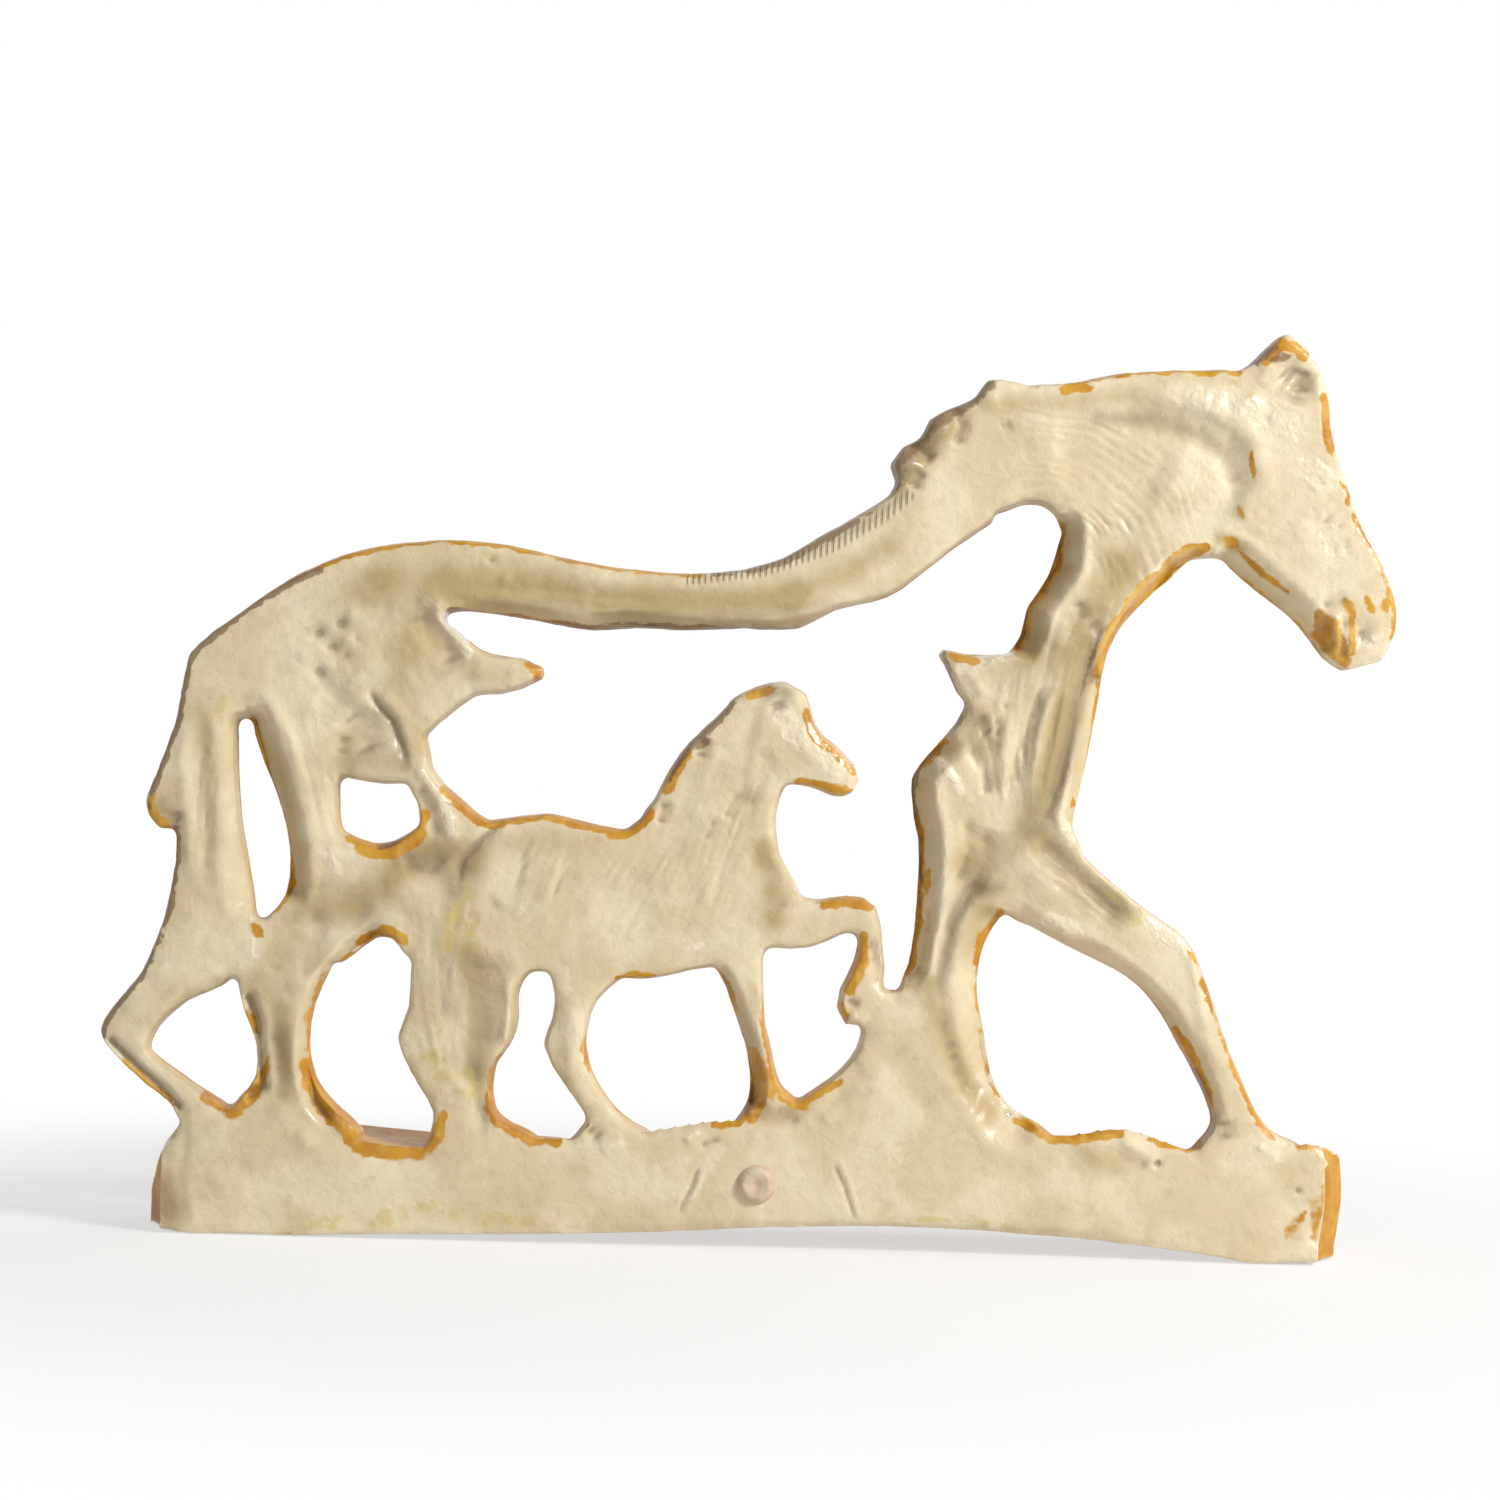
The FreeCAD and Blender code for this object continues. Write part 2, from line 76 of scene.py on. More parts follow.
MM = 0.001
THOUSAND = 1000.0
BODY = "root"
NUB = "casting_nub"
SLAB = "base_slab"

LENGTH = (CAD_BOUNDS[1].x - CAD_BOUNDS[0].x) / MM
HEIGHT = CAD_BOUNDS[1].z / MM
LEFT = CAD_BOUNDS[0].x / MM
REARMOST = CAD_BOUNDS[0].y / MM
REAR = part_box(SLAB)[0].y / MM
FRONT = CAD_BOUNDS[1].y / MM
WAIST_DEPTH = 7.0
WAIST = REAR + WAIST_DEPTH

# Whole numbers that scatter the lattice of the noise.
CELL_STEPS = np.array([73856093, 19349663, 83492791])
SEED_STEP = 26544357
SCATTER = 1274126177
KEY_BITS = 0xFFFFFFFF
VALUE_BITS = 0xFFFF
LATTICE_START = 511.0
LAYERS_SUM = 1.6


def spot(along: float, up: float) -> Array:
    """Turn a place in thousandths of the silhouette into X and Z in millimetres."""
    return np.array([LEFT + LENGTH * along / THOUSAND, HEIGHT * up / THOUSAND])


def ease(value: Array, low: float, high: float) -> Array:
    """Ease value from 0 at low to 1 at high."""
    share = np.clip((value - low) / (high - low), 0.0, 1.0)
    return share * share * (3.0 - 2.0 * share)


def lattice_noise(points: Array, grain: float, seed: int) -> Array:
    """Smooth value noise at every point.

    Args:
        points: Array of points, one a row.
        grain: Size of one lump, in the points' unit.
        seed: Picks another pattern.

    Returns:
        One value from -1 to 1 for each point.
    """
    scaled = points / grain + LATTICE_START
    cell = np.floor(scaled).astype(np.int64)
    part = scaled - cell
    part = part * part * (3.0 - 2.0 * part)
    total = np.zeros(len(points))
    for corner in range(8):
        offset = np.array([corner & 1, corner >> 1 & 1, corner >> 2 & 1])
        key = (cell + offset) @ CELL_STEPS + seed * SEED_STEP
        key = (key ^ key >> 13) * SCATTER & KEY_BITS
        key = key ^ key >> 16
        value = (key & VALUE_BITS) / (VALUE_BITS / 2) - 1.0
        total += value * np.prod(np.where(offset, part, 1.0 - part), axis=1)
    return total


def layered_noise(points: Array, grain: float, seed: int, layers: int = 3) -> Array:
    """Sum of ever finer layers of lattice noise.

    Args:
        points: Array of points, one a row.
        grain: Size of the largest lumps.
        seed: Picks another pattern.
        layers: How many layers, each half as large and half as strong.

    Returns:
        One value for each point, mostly within -1 to 1.
    """
    total = np.zeros(len(points))
    for layer in range(layers):
        total += lattice_noise(points, grain / 2**layer, seed + layer) / 2**layer
    return total / LAYERS_SUM


@dataclass(frozen=True)
class Swell:
    """Smooth unevenness of the clay: its height and the size of its lumps, in millimetres."""

    height: float
    grain: float
    seed: int
    layers: int = 2

    def at(self, points: Array) -> Array:
        """Height of the unevenness at every point, in millimetres."""
        return self.height * layered_noise(points, self.grain, self.seed, self.layers)


def beside(spots: Array, path: Path) -> tuple[Array, Array, Array]:
    """Where each spot lies beside a path drawn on the silhouette.

    Args:
        spots: X and Z of each vertex, in millimetres.
        path: Corners of the path in thousandths of the silhouette.

    Returns:
        Distance to the path in millimetres, the same signed with its left side positive, and the
        share of the path's length at the nearest place.
    """
    corners = np.array([spot(*corner) for corner in path])
    runs = corners[1:] - corners[:-1]
    lengths = np.maximum(np.linalg.norm(runs, axis=1), 1e-6)
    starts = np.concatenate([[0.0], np.cumsum(lengths)])
    best = np.full(len(spots), np.inf)
    side = np.zeros(len(spots))
    share = np.zeros(len(spots))
    for corner, run, length, start in zip(corners, runs, lengths, starts):
        away = spots - corner
        along = np.clip(away @ run / length**2, 0.0, 1.0)
        gap = np.linalg.norm(away - along[:, None] * run, axis=1)
        nearer = gap < best
        best[nearer] = gap[nearer]
        cross = run[0] * away[:, 1] - run[1] * away[:, 0]
        side[nearer] = (np.sign(cross) * gap)[nearer]
        share[nearer] = ((start + along * length) / starts[-1])[nearer]
    return best, side, share


def within(spots: Array, corners: Array, reach: float) -> Array:
    """Indices of the spots inside the corners' box, widened by a reach in millimetres."""
    inside = (spots >= corners.min(axis=0) - reach) & (spots <= corners.max(axis=0) + reach)
    return np.flatnonzero(inside.all(axis=1))


class Mark(Enum):
    """Kinds of form that a hand or a mould leaves on a face."""

    SOFT = "soft"
    SHARP = "sharp"
    WALL = "wall"
    RINGS = "rings"
    STREAKS = "streaks"


class Tint(Enum):
    """Masks that the glaze material mixes by."""

    OCHRE = "ochre"
    # Dark brown glaze at rims, with painted shade on sides that face away from the key lamp.
    BROWN = "brown"
    STAIN = "stain"
    # Glossy places, also painted lighter as sheen.
    GLOSS = "gloss"
    # Painted shade in hollows.
    RECESS = "recess"
    # Thin tan glaze on slopes, with painted shade on shaded faces.
    TAN = "tan"
    # Painted highlight on crests.
    CREST = "crest"
    COMB = "comb"

    @property
    def cloudy(self) -> bool:
        """Whether strokes of this mask lie as soft clouds."""
        return self not in (Tint.OCHRE, Tint.BROWN)


FADE_START = -0.02
SHARPNESS = 1.5
STREAK_GAIN = 1.6
STREAK_SEED = 61
WALL_BEND = 7.0
WALL_BEND_LIMIT = 30
LIP_HEIGHT = 0.06
LIP_PLACE_SHARE = 1.12
LIP_WIDTH_SHARE = 0.22
LIP_WIDTH = 0.3
RING_SWAYS = ((1.5, 8.0, 71), (0.5, 2.6, 73))
RING_FADE_DEGREES = 16.0
RING_PATCH_GRAIN = 5.0
RING_PATCH_SEED = 33


@dataclass(frozen=True)
class Form:
    """One form on a face, along a path or in rings round its first corner.

    Height is outwards in millimetres, so a dent has a height below zero. Fade is the share of the
    path at each end over which the form runs out.
    """

    mark: Mark
    path: Path
    width: float
    height: float
    fade: float = 0.2
    pitch: float = 1.0
    turn: Pair = (0.0, 360.0)
    stretch: float = 9.0

    def near(self, spots: Array) -> Array:
        """Pick the vertices that the form can reach.

        Args:
            spots: X and Z of each vertex, in millimetres.

        Returns:
            Indices of those vertices.
        """
        corners = np.array([spot(*corner) for corner in self.path])
        if self.mark is Mark.RINGS:
            reach = np.linalg.norm(corners[-1] - corners[0]) + self.width
            return within(spots, corners[:1], reach)
        return within(spots, corners, 3.0 * self.width)

    def relief(self, spots: Array) -> Array:
        """Height of the form at each spot.

        Args:
            spots: X and Z of the vertices that it reaches, in millimetres.

        Returns:
            Heights in millimetres.
        """
        if self.mark is Mark.RINGS:
            return self.rings(spots)
        gap, side, share = beside(spots, self.path)
        run_out = np.ones(len(spots))
        if self.fade > 0:
            run_out = ease(share, FADE_START, self.fade) * ease(1.0 - share, FADE_START, self.fade)
        if self.mark is Mark.SOFT:
            return self.height * np.exp(-((gap / self.width) ** 2)) * run_out
        if self.mark is Mark.SHARP:
            return self.height * np.clip(1.0 - gap / self.width, 0.0, 1.0) ** SHARPNESS * run_out
        along = share * self.span()
        if self.mark is Mark.STREAKS:
            places = np.column_stack([side, along / self.stretch, 0.0 * side]) / self.pitch
            grain = layered_noise(places, 1.0, STREAK_SEED, 2)
            return self.height * STREAK_GAIN * grain * np.exp(-((gap / self.width) ** 2)) * run_out
        ramp = (1.0 - gap / self.width) * WALL_BEND
        wall = np.log1p(np.exp(np.clip(ramp, -WALL_BEND_LIMIT, WALL_BEND_LIMIT))) / WALL_BEND
        lip_width = self.width * LIP_WIDTH_SHARE + LIP_WIDTH
        lip = LIP_HEIGHT * np.exp(-(((gap - self.width * LIP_PLACE_SHARE) / lip_width) ** 2))
        return self.height * (wall - lip) * run_out

    def span(self) -> float:
        """Length of the path in millimetres."""
        corners = np.array([spot(*corner) for corner in self.path])
        return float(np.linalg.norm(corners[1:] - corners[:-1], axis=1).sum())

    def rings(self, spots: Array) -> Array:
        """Rings round the first corner, between the radii of the second and third corners."""
        centre, inner, outer = (spot(*corner) for corner in self.path)
        near_edge = np.linalg.norm(inner - centre)
        far_edge = np.linalg.norm(outer - centre)
        away = spots - centre
        radius = np.linalg.norm(away, axis=1)
        for sway, grain, seed in RING_SWAYS:
            radius = radius + sway * lattice_noise(np.column_stack([spots, radius]), grain, seed)
        angle = np.degrees(np.arctan2(away[:, 1], away[:, 0])) % 360.0
        middle = (self.turn[0] + self.turn[1]) / 2
        spread = (self.turn[1] - self.turn[0]) / 2
        swing = np.abs((angle - middle + 180.0) % 360.0 - 180.0)
        mask = ease(spread - swing, 0.0, RING_FADE_DEGREES)
        mask = mask * ease(radius, near_edge, near_edge + self.width)
        mask = mask * ease(far_edge - radius, 0.0, self.width)
        places = np.column_stack([spots, 0 * radius])
        patch = np.clip(0.5 + 0.8 * lattice_noise(places, RING_PATCH_GRAIN, RING_PATCH_SEED), 0.0, 1.2)
        wave = np.abs(np.sin(math.pi * radius / self.pitch)) * 2.0 - 1.2
        return self.height * mask * patch * wave


@dataclass(frozen=True)
class Wash:
    """One stroke of glaze, or of painted shade or sheen: a mask laid along a path, thinner towards its ends.
    """

    tint: Tint
    path: Path
    width: float
    strength: float = 1.0
    hugs_edge: bool = False
    spill: float = 1.9
    thinnest: float = 0.45

    def reach(self, spots: Array) -> tuple[Array, Array]:
        """Strength of the stroke where it lies.

        Args:
            spots: X and Z of each vertex, in millimetres.

        Returns:
            Indices of the vertices that it reaches, and its strength there.
        """
        corners = np.array([spot(*corner) for corner in self.path])
        near = within(spots, corners, self.width + self.spill)
        gap, _, share = beside(spots[near], self.path)
        if self.tint.cloudy:
            return near, self.strength * ease(1.0 - gap / self.width, 0.0, 1.0)
        end = ease(np.minimum(share, 1.0 - share), 0.0, 0.3)
        taper = self.thinnest + (1.0 - self.thinnest) * end
        width = self.width + (self.spill if self.hugs_edge else 0.0)
        return near, self.strength * np.clip(1.0 - gap / width / taper, 0.0, 1.0)


def deselect() -> None:
    """Leave nothing selected, so that an operator acts on what is picked next."""
    for thing in bpy.context.selected_objects:
        thing.select_set(False)


def pick(*things: Thing) -> None:
    """Select these objects alone and make the first one active."""
    deselect()
    for thing in things:
        thing.select_set(True)
    bpy.context.view_layer.objects.active = things[0]


def apply_modifier(thing: Thing, kind: str, **settings: object) -> None:
    """Add one modifier to an object and apply it.

    Args:
        thing: The object.
        kind: The modifier's type.
        settings: Values of its properties.
    """
    modifier = thing.modifiers.new(kind.title(), kind)
    for name, value in settings.items():
        setattr(modifier, name, value)
    pick(thing)
    bpy.ops.object.modifier_apply(modifier=modifier.name)


def place_in_mesh(thing: Thing, place: Matrix) -> None:
    """Put an object at a place and keep that place in its mesh."""
    thing.matrix_world = place
    bpy.context.view_layer.update()
    bpy.ops.object.transform_apply(location=True, rotation=True, scale=True)


def read_points(mesh: Mesh) -> Array:
    """Vertex places of a mesh, in millimetres."""
    flat = np.empty(len(mesh.vertices) * 3, np.float32)
    mesh.vertices.foreach_get("co", flat)
    return flat.reshape(-1, 3).astype(float) / MM


def write_points(mesh: Mesh, points: Array) -> None:
    """Put vertices at places given in millimetres."""
    mesh.vertices.foreach_set("co", (points * MM).astype(np.float32).ravel())
    mesh.update()


def read_normals(mesh: Mesh) -> Array:
    """Vertex normals of a mesh."""
    flat = np.empty(len(mesh.vertices) * 3, np.float32)
    mesh.vertex_normals.foreach_get("vector", flat)
    return flat.reshape(-1, 3).astype(float)


def read_edges(mesh: Mesh) -> Array:
    """Vertex pairs of a mesh's edges."""
    flat = np.empty(len(mesh.edges) * 2, np.int32)
    mesh.edges.foreach_get("vertices", flat)
    return flat.reshape(-1, 2)


def neighbour_mean(values: Array, edges: Array) -> Array:
    """Mean of each vertex's neighbours.

    Args:
        values: One row for each vertex.
        edges: Vertex pairs.

    Returns:
        Array like values.
    """
    count = len(values)
    ends = np.concatenate([edges[:, 0], edges[:, 1]])
    others = np.concatenate([edges[:, 1], edges[:, 0]])
    degree = np.maximum(np.bincount(ends, minlength=count), 1)
    columns = [np.bincount(ends, weights=column[others], minlength=count) for column in values.T]
    return np.column_stack(columns) / degree[:, None]


STEP_IN = 0.52
STEP_OUT = 0.533


def smooth(points: Array, edges: Array, rounds: int) -> Array:
    """Smooth places without shrinking them, by one step in and one step out each round."""
    for _ in range(rounds):
        points = points + STEP_IN * (neighbour_mean(points, edges) - points)
        points = points - STEP_OUT * (neighbour_mean(points, edges) - points)
    return points


def blurred(field_map: Array, radius: int) -> Array:
    """Blur a grid by three box means."""
    for _ in range(3):
        for axis in (0, 1):
            total = sum(np.roll(field_map, shift, axis=axis) for shift in range(-radius, radius + 1))
            field_map = total / (2 * radius + 1)
    return field_map


@dataclass(frozen=True)
class Nudge:
    """A push of the outline, as a thumb moves soft clay, about one place."""

    centre: Pair
    radius: float
    push: Pair

    def move(self, spots: Array) -> Array:
        """Work out the push at every spot."""
        gap = np.linalg.norm(spots - spot(*self.centre), axis=1)
        return np.exp(-((gap / self.radius) ** 2))[:, None] * np.array(self.push)


Forms = tuple[Form, ...]
Washes = tuple[Wash, ...]


@dataclass
class Relief:
    """Forms and glazes of one sub-assembly, with painted shade and sheen, on its rear and front faces.

    A seed is a place inside a named part, and a cut is a path that the saw follows between two
    parts, both in thousandths of the silhouette.
    """

    rear: Forms = ()
    front: Forms = ()
    washes: Washes = ()
    front_washes: Washes = ()
    nudges: tuple[Nudge, ...] = ()
    seeds: dict[str, Pair] = field(default_factory=dict)
    cuts: tuple[Path, ...] = ()


@dataclass(frozen=True)
class Sight:
    """How the photograph sees the casting: where its camera stood, which way up, and its reach."""

    distance: float = 850.0
    aim_x: float = -0.2
    aim_z: float = 108.3
    view_angle: float = 21.85
    roll: float = 1.66
    side: float = 1500.0

    def on_rear(self, across: float, down: float) -> Pair:
        """Find where a pixel of the photograph meets the rear face.

        Args:
            across: Pixels from the left of the photograph.
            down: Pixels from its top.

        Returns:
            The place in thousandths of the silhouette.
        """
        half = self.side / 2
        reach = (self.distance + REAR - WAIST) * math.tan(math.radians(self.view_angle / 2)) / half
        right, up = (across - half) * reach, (half - down) * reach
        turn = math.radians(self.roll)
        x = self.aim_x + right * math.cos(turn) - up * math.sin(turn)
        z = self.aim_z + right * math.sin(turn) + up * math.cos(turn)
        return (x - LEFT) / LENGTH * THOUSAND, z / HEIGHT * THOUSAND


SIGHT = Sight()


def seen(*pixels: Pair) -> Path:
    """Turn pixels of the photograph into a path on the rear face."""
    return tuple(SIGHT.on_rear(*pixel) for pixel in pixels)


def soft(width: float, height: float, *pixels: Pair) -> Form:
    """A soft ridge, or a soft groove where height is below zero, through pixels of the photograph."""
    return Form(Mark.SOFT, seen(*pixels), width, height)


def sharp(width: float, height: float, *pixels: Pair) -> Form:
    """A sharp ridge or scratch through pixels of the photograph."""
    return Form(Mark.SHARP, seen(*pixels), width, height)


def wall(width: float, height: float, *pixels: Pair) -> Form:
    """A sloping wall that falls to an outline through pixels of the photograph."""
    return Form(Mark.WALL, seen(*pixels), width, height, fade=0.08)


def dot(width: float, height: float, across: float, down: float) -> Form:
    """A round lump, or a round dent where height is below zero, at a pixel of the photograph."""
    return Form(Mark.SOFT, seen((across, down), (across + 1, down)), width, height, fade=0.0)


def rings(width: float, height: float, pitch: float, turn: Pair, *pixels: Pair) -> Form:
    """Tool rings about the first pixel, from the second pixel's radius to the third's."""
    return Form(Mark.RINGS, seen(*pixels), width, height, pitch=pitch, turn=turn)


def streaks(width: float, height: float, pitch: float, *pixels: Pair) -> Form:
    """Rough streaks that run along a line through pixels of the photograph."""
    return Form(Mark.STREAKS, seen(*pixels), width, height, pitch=pitch)


def grit(width: float, height: float, pitch: float, *pixels: Pair) -> Form:
    """Rough lumps and pits about a line through pixels of the photograph."""
    return Form(Mark.STREAKS, seen(*pixels), width, height, pitch=pitch, stretch=1.2)


def nudge(across: float, down: float, radius: float, right: float, up: float) -> Nudge:
    """A push of the outline at a pixel of the photograph."""
    return Nudge(seen((across, down))[0], radius, (right, up))


def strands(width: float, height: float, count: int, fall: Pair, *crest: Pair) -> Forms:
    """Grooves between locks of hair or blades of grass, side by side along a line.

    Args:
        width: Width of one groove.
        height: Its height, below zero for a groove.
        count: How many.
        fall: Pixels across and down that each one runs.
        crest: Pixels of the line where they start.

    Returns:
        One form for each groove.
    """
    places = np.array(crest, float)
    steps = np.concatenate([[0.0], np.cumsum(np.linalg.norm(np.diff(places, axis=0), axis=1))])
    made = []
    for index in range(count):
        at = steps[-1] * (index + 0.5) / count
        sway = math.sin(index * 2.4)
        start = np.array([np.interp(at, steps, places[:, 0]), np.interp(at, steps, places[:, 1])])
        end = start + np.array(fall) * (1.0 + 0.25 * sway)
        bow = np.array([-fall[1], fall[0]]) * (0.10 + 0.06 * math.cos(index * 1.7))
        path = seen(tuple(start), tuple((start + end) / 2 + bow), tuple(end))
        made.append(Form(Mark.SOFT, path, width, height * (1.0 + 0.3 * sway)))
    return tuple(made)


def wash(tint: Tint, width: float, strength: float, *pixels: Pair) -> Wash:
    """A stroke of glaze through pixels of the photograph, kept to the outline where it is a rim."""
    return Wash(tint, seen(*pixels), width, strength, not tint.cloudy)


def dab(tint: Tint, width: float, strength: float, *pixels: Pair) -> Wash:
    """A stroke of glaze through pixels of the photograph, free of the outline."""
    return Wash(tint, seen(*pixels), width, strength)


# Strokes of each glaze and of painted light, each with its width, its strength and its pixels: the brown
# strokes are dark glaze with painted shade, the glossy strokes add shine and painted sheen, the shade
# strokes are painted shade, and the tan strokes are thin glaze and painted shade.
ochre = partial(wash, Tint.OCHRE)
brown = partial(wash, Tint.BROWN)
stain = partial(wash, Tint.STAIN)
gloss = partial(wash, Tint.GLOSS)
shade = partial(wash, Tint.RECESS)
tan = partial(wash, Tint.TAN)


@dataclass
class Base(Relief):
    """The long slab and the grass mound on it."""

    rear: Forms = (
        # Tool rings beside the straight foreleg.
        rings(5, 0.1, 3, (275, 350), (840, 960), (900, 1010), (990, 1150)),
        soft(3.4, -0.5, (880, 1040), (900, 1080), (940, 1120)),
        # The two scratched slots beside the stub.
        sharp(0.9, -0.5, (700, 1166), (692, 1188), (684, 1202), (678, 1218)),
        sharp(0.8, 0.35, (704, 1170), (697, 1190), (690, 1205)),
        sharp(0.8, -0.45, (832, 1160), (845, 1188), (857, 1226)),
        sharp(0.8, 0.3, (838, 1158), (850, 1186), (860, 1222)),
        # Dents and drips along the top, and the right end.
        soft(1.3, 0.6, (684, 1146), (700, 1132)), soft(1, -0.4, (700, 1150), (720, 1140)),
        soft(1.5, 0.55, (1120, 1146), (1142, 1156), (1160, 1164)),
        soft(2.2, -0.5, (1100, 1150), (1130, 1165), (1150, 1175)), dot(0.7, -1.1, 1157, 1166),
        dot(0.6, -0.6, 1295, 1192),
        soft(2.5, -0.6, (290, 1080), (300, 1110), (330, 1140), (400, 1158), (440, 1145)),
        soft(2, 0.5, (300, 1130), (310, 1150)), soft(3, -0.4, (200, 1110), (280, 1112)),
        soft(2, 0.5, (600, 1150), (625, 1142)), soft(1.6, 0.5, (1255, 1145), (1280, 1158)),
        soft(2.4, -0.9, (1222, 1120), (1226, 1142)), soft(2.2, -0.7, (588, 1128), (600, 1140)),
        soft(1.6, -0.6, (775, 1108), (800, 1125)), soft(1.2, 0.4, (822, 1124), (846, 1104)),
        soft(5, -0.5, (1312, 1168), (1300, 1200), (1276, 1244)),
        wall(4, -2.2, (1338, 1150), (1338, 1210), (1318, 1250)),
    )
    washes: Washes = (
        stain(3.1, 0.54, (385, 1216), (430, 1206), (470, 1218), (530, 1222)),
        stain(4.4, 0.42, (300, 1222), (380, 1224)), stain(1.6, 0.42, (880, 1216), (960, 1222), (1040, 1230)),
        dab(Tint.OCHRE, 3.6, 0.42, (1330, 1165), (1324, 1200), (1314, 1236)),
        dab(Tint.OCHRE, 2.4, 0.42, (1306, 1212), (1286, 1240)),
        ochre(1.8, 1, (1005, 1126), (1040, 1132), (1078, 1136), (1120, 1134)),
        ochre(1.1, 1, (1150, 1142), (1200, 1146)), ochre(1, 0.9, (1290, 1152), (1332, 1150)),
        ochre(1, 0.8, (262, 1226), (300, 1225)), ochre(1.3, 1, (715, 1126), (750, 1118)),
        # Painted shade at the left end of the base, and tan as thin glaze and painted shade.
        shade(1.6, 0.4, (187, 1112), (188, 1140), (184, 1180), (188, 1218)),
        tan(7, 1, (160, 1190), (168, 1210)), shade(5, 0.5, (164, 1190), (172, 1212)),
        tan(5, 0.4, (1080, 1150), (1110, 1165)), tan(4, 0.35, (1285, 1170), (1295, 1195)),
        # Glossy spots, also painted lighter as sheen.
        gloss(3, 0.4, (196, 1172), (215, 1166)), gloss(3, 0.45, (600, 1150), (625, 1142)),
        gloss(3.4, 0.4, (690, 1190), (720, 1150)), gloss(2.6, 0.5, (1255, 1145), (1280, 1158)),
    )
    front: Forms = (
        *strands(0.8, -0.6, 44, (5, -24), (200, 1160), (420, 1170), (700, 1160), (1000, 1168), (1330, 1180)),
        *strands(0.9, 0.5, 40, (-6, -22), (210, 1176), (500, 1186), (900, 1180), (1320, 1196)),
        *strands(0.9, -0.7, 9, (14, -70), (810, 1120), (880, 1110), (960, 1112)),
        *strands(0.9, 0.5, 7, (18, -60), (830, 1090), (930, 1080)),
        soft(2, -0.6, (190, 1200), (500, 1206), (900, 1206), (1320, 1220)),
    )
    front_washes: Washes = (
        shade(2.6, 0.55, (200, 1160), (420, 1170), (700, 1160), (1000, 1168), (1330, 1180)),
        shade(4, 0.4, (830, 1100), (900, 1060), (950, 1100)),
        shade(2.6, 0.4, (190, 1215), (600, 1222), (1000, 1224), (1320, 1244)),
    )
    nudges: tuple[Nudge, ...] = (
        nudge(1113, 1133, 11, 0, 1.5), nudge(1050, 1124, 6, 0, 0.6), nudge(1336, 1200, 9, 1.5, 0),
        nudge(1318, 1152, 7, 0.3, 1.4), nudge(373, 1126, 8, 0, 0.5), nudge(690, 1130, 10, 0, 0.8),
        nudge(540, 1136, 6, 0, 0.5), nudge(820, 1098, 5, 0, 0.3),
    )
    seeds: dict[str, Pair] = field(default_factory=lambda: {
        "base_slab": (495, 79), "grass_mound": (590, 200),
    })
    cuts: tuple[Path, ...] = (
        ((50, 127), (90, 142), (100, 160)), ((104, 162), (118, 147), (188, 126), (216, 137)),
        ((236, 132), (290, 122), (324, 138)), ((364, 132), (384, 122), (418, 122), (432, 138)),
        ((492, 152), (504, 142), (536, 158), (548, 172)), ((536, 170), (560, 156), (762, 134)),
        ((848, 150), (860, 142), (925, 127), (944, 137)), ((622, 300), (640, 128)), ((566, 260), (616, 292)),
    )


FOAL_RUMP: Forms = (
    sharp(1.7, -1.1, (508, 820), (482, 838), (463, 858), (455, 888)),
    soft(3, -0.9, (470, 862), (462, 900), (462, 940)), soft(3.2, -1.5, (484, 950), (486, 1000), (490, 1058)),
    soft(1.5, 0.6, (508, 975), (512, 1010), (504, 1048)), soft(3, 0.5, (440, 960), (432, 1010), (442, 1060)),
    soft(2, -0.6, (474, 1066), (478, 1100), (486, 1132)),
    soft(1.2, 0.6, (492, 1078), (490, 1110), (506, 1132)),
)

FOAL_CHEST: Forms = (
    soft(2.6, -0.8, (768, 858), (780, 885), (784, 915)), soft(1.2, 0.5, (782, 842), (796, 878), (802, 902)),
    soft(2.4, -0.7, (768, 745), (758, 775), (745, 812)), soft(1.4, -0.4, (716, 818), (706, 842)),
    soft(2.2, 0.6, (716, 745), (702, 790), (690, 825)), soft(1.4, -0.5, (738, 790), (725, 820)),
    soft(1.8, -1, (706, 738), (700, 760)), soft(1.6, -0.8, (664, 800), (660, 826)),
    soft(2, -0.9, (776, 700), (780, 712)), dot(2.4, 0.7, 792, 690),
    soft(2.6, 0.6, (796, 730), (815, 760), (845, 778)),
)

FOAL_BARREL: Forms = (
    soft(7, 0.7, (520, 870), (560, 880)), soft(6, 0.5, (640, 880), (720, 880)),
    streaks(9, 0.15, 0.9, (520, 930), (570, 850)), streaks(11, 0.15, 0.9, (600, 950), (680, 830)),
    streaks(9, 0.17, 0.9, (690, 930), (755, 760)),
    streaks(4, 0.16, 0.8, (470, 880), (455, 980), (450, 1080)),
)

FOAL_LEGS: Forms = (
    soft(2, 0.5, (566, 985), (575, 1030), (570, 1070), (600, 1120)),
    soft(1.6, -0.3, (558, 1000), (556, 1045), (568, 1075)),
    wall(3.2, -5.4, (712, 970), (728, 1000), (744, 1040), (752, 1080), (752, 1112)),
    soft(1.5, 0.6, (758, 975), (762, 1020), (768, 1060)),
    soft(1.6, -0.9, (868, 935), (876, 965), (880, 990)), soft(1.4, 0.5, (886, 930), (886, 970)),
    wall(1.6, -2.4, (520, 985), (516, 1010), (510, 1045), (498, 1070)),
    soft(1, -0.6, (846, 1000), (860, 1006)), soft(1.6, 0.6, (850, 1014), (866, 1024)),
    soft(2.4, -0.6, (862, 1060), (840, 1090), (836, 1120)), soft(2.2, -0.5, (470, 925), (500, 900)),
    soft(1.4, 0.4, (430, 1100), (452, 1080), (470, 1100)),
)

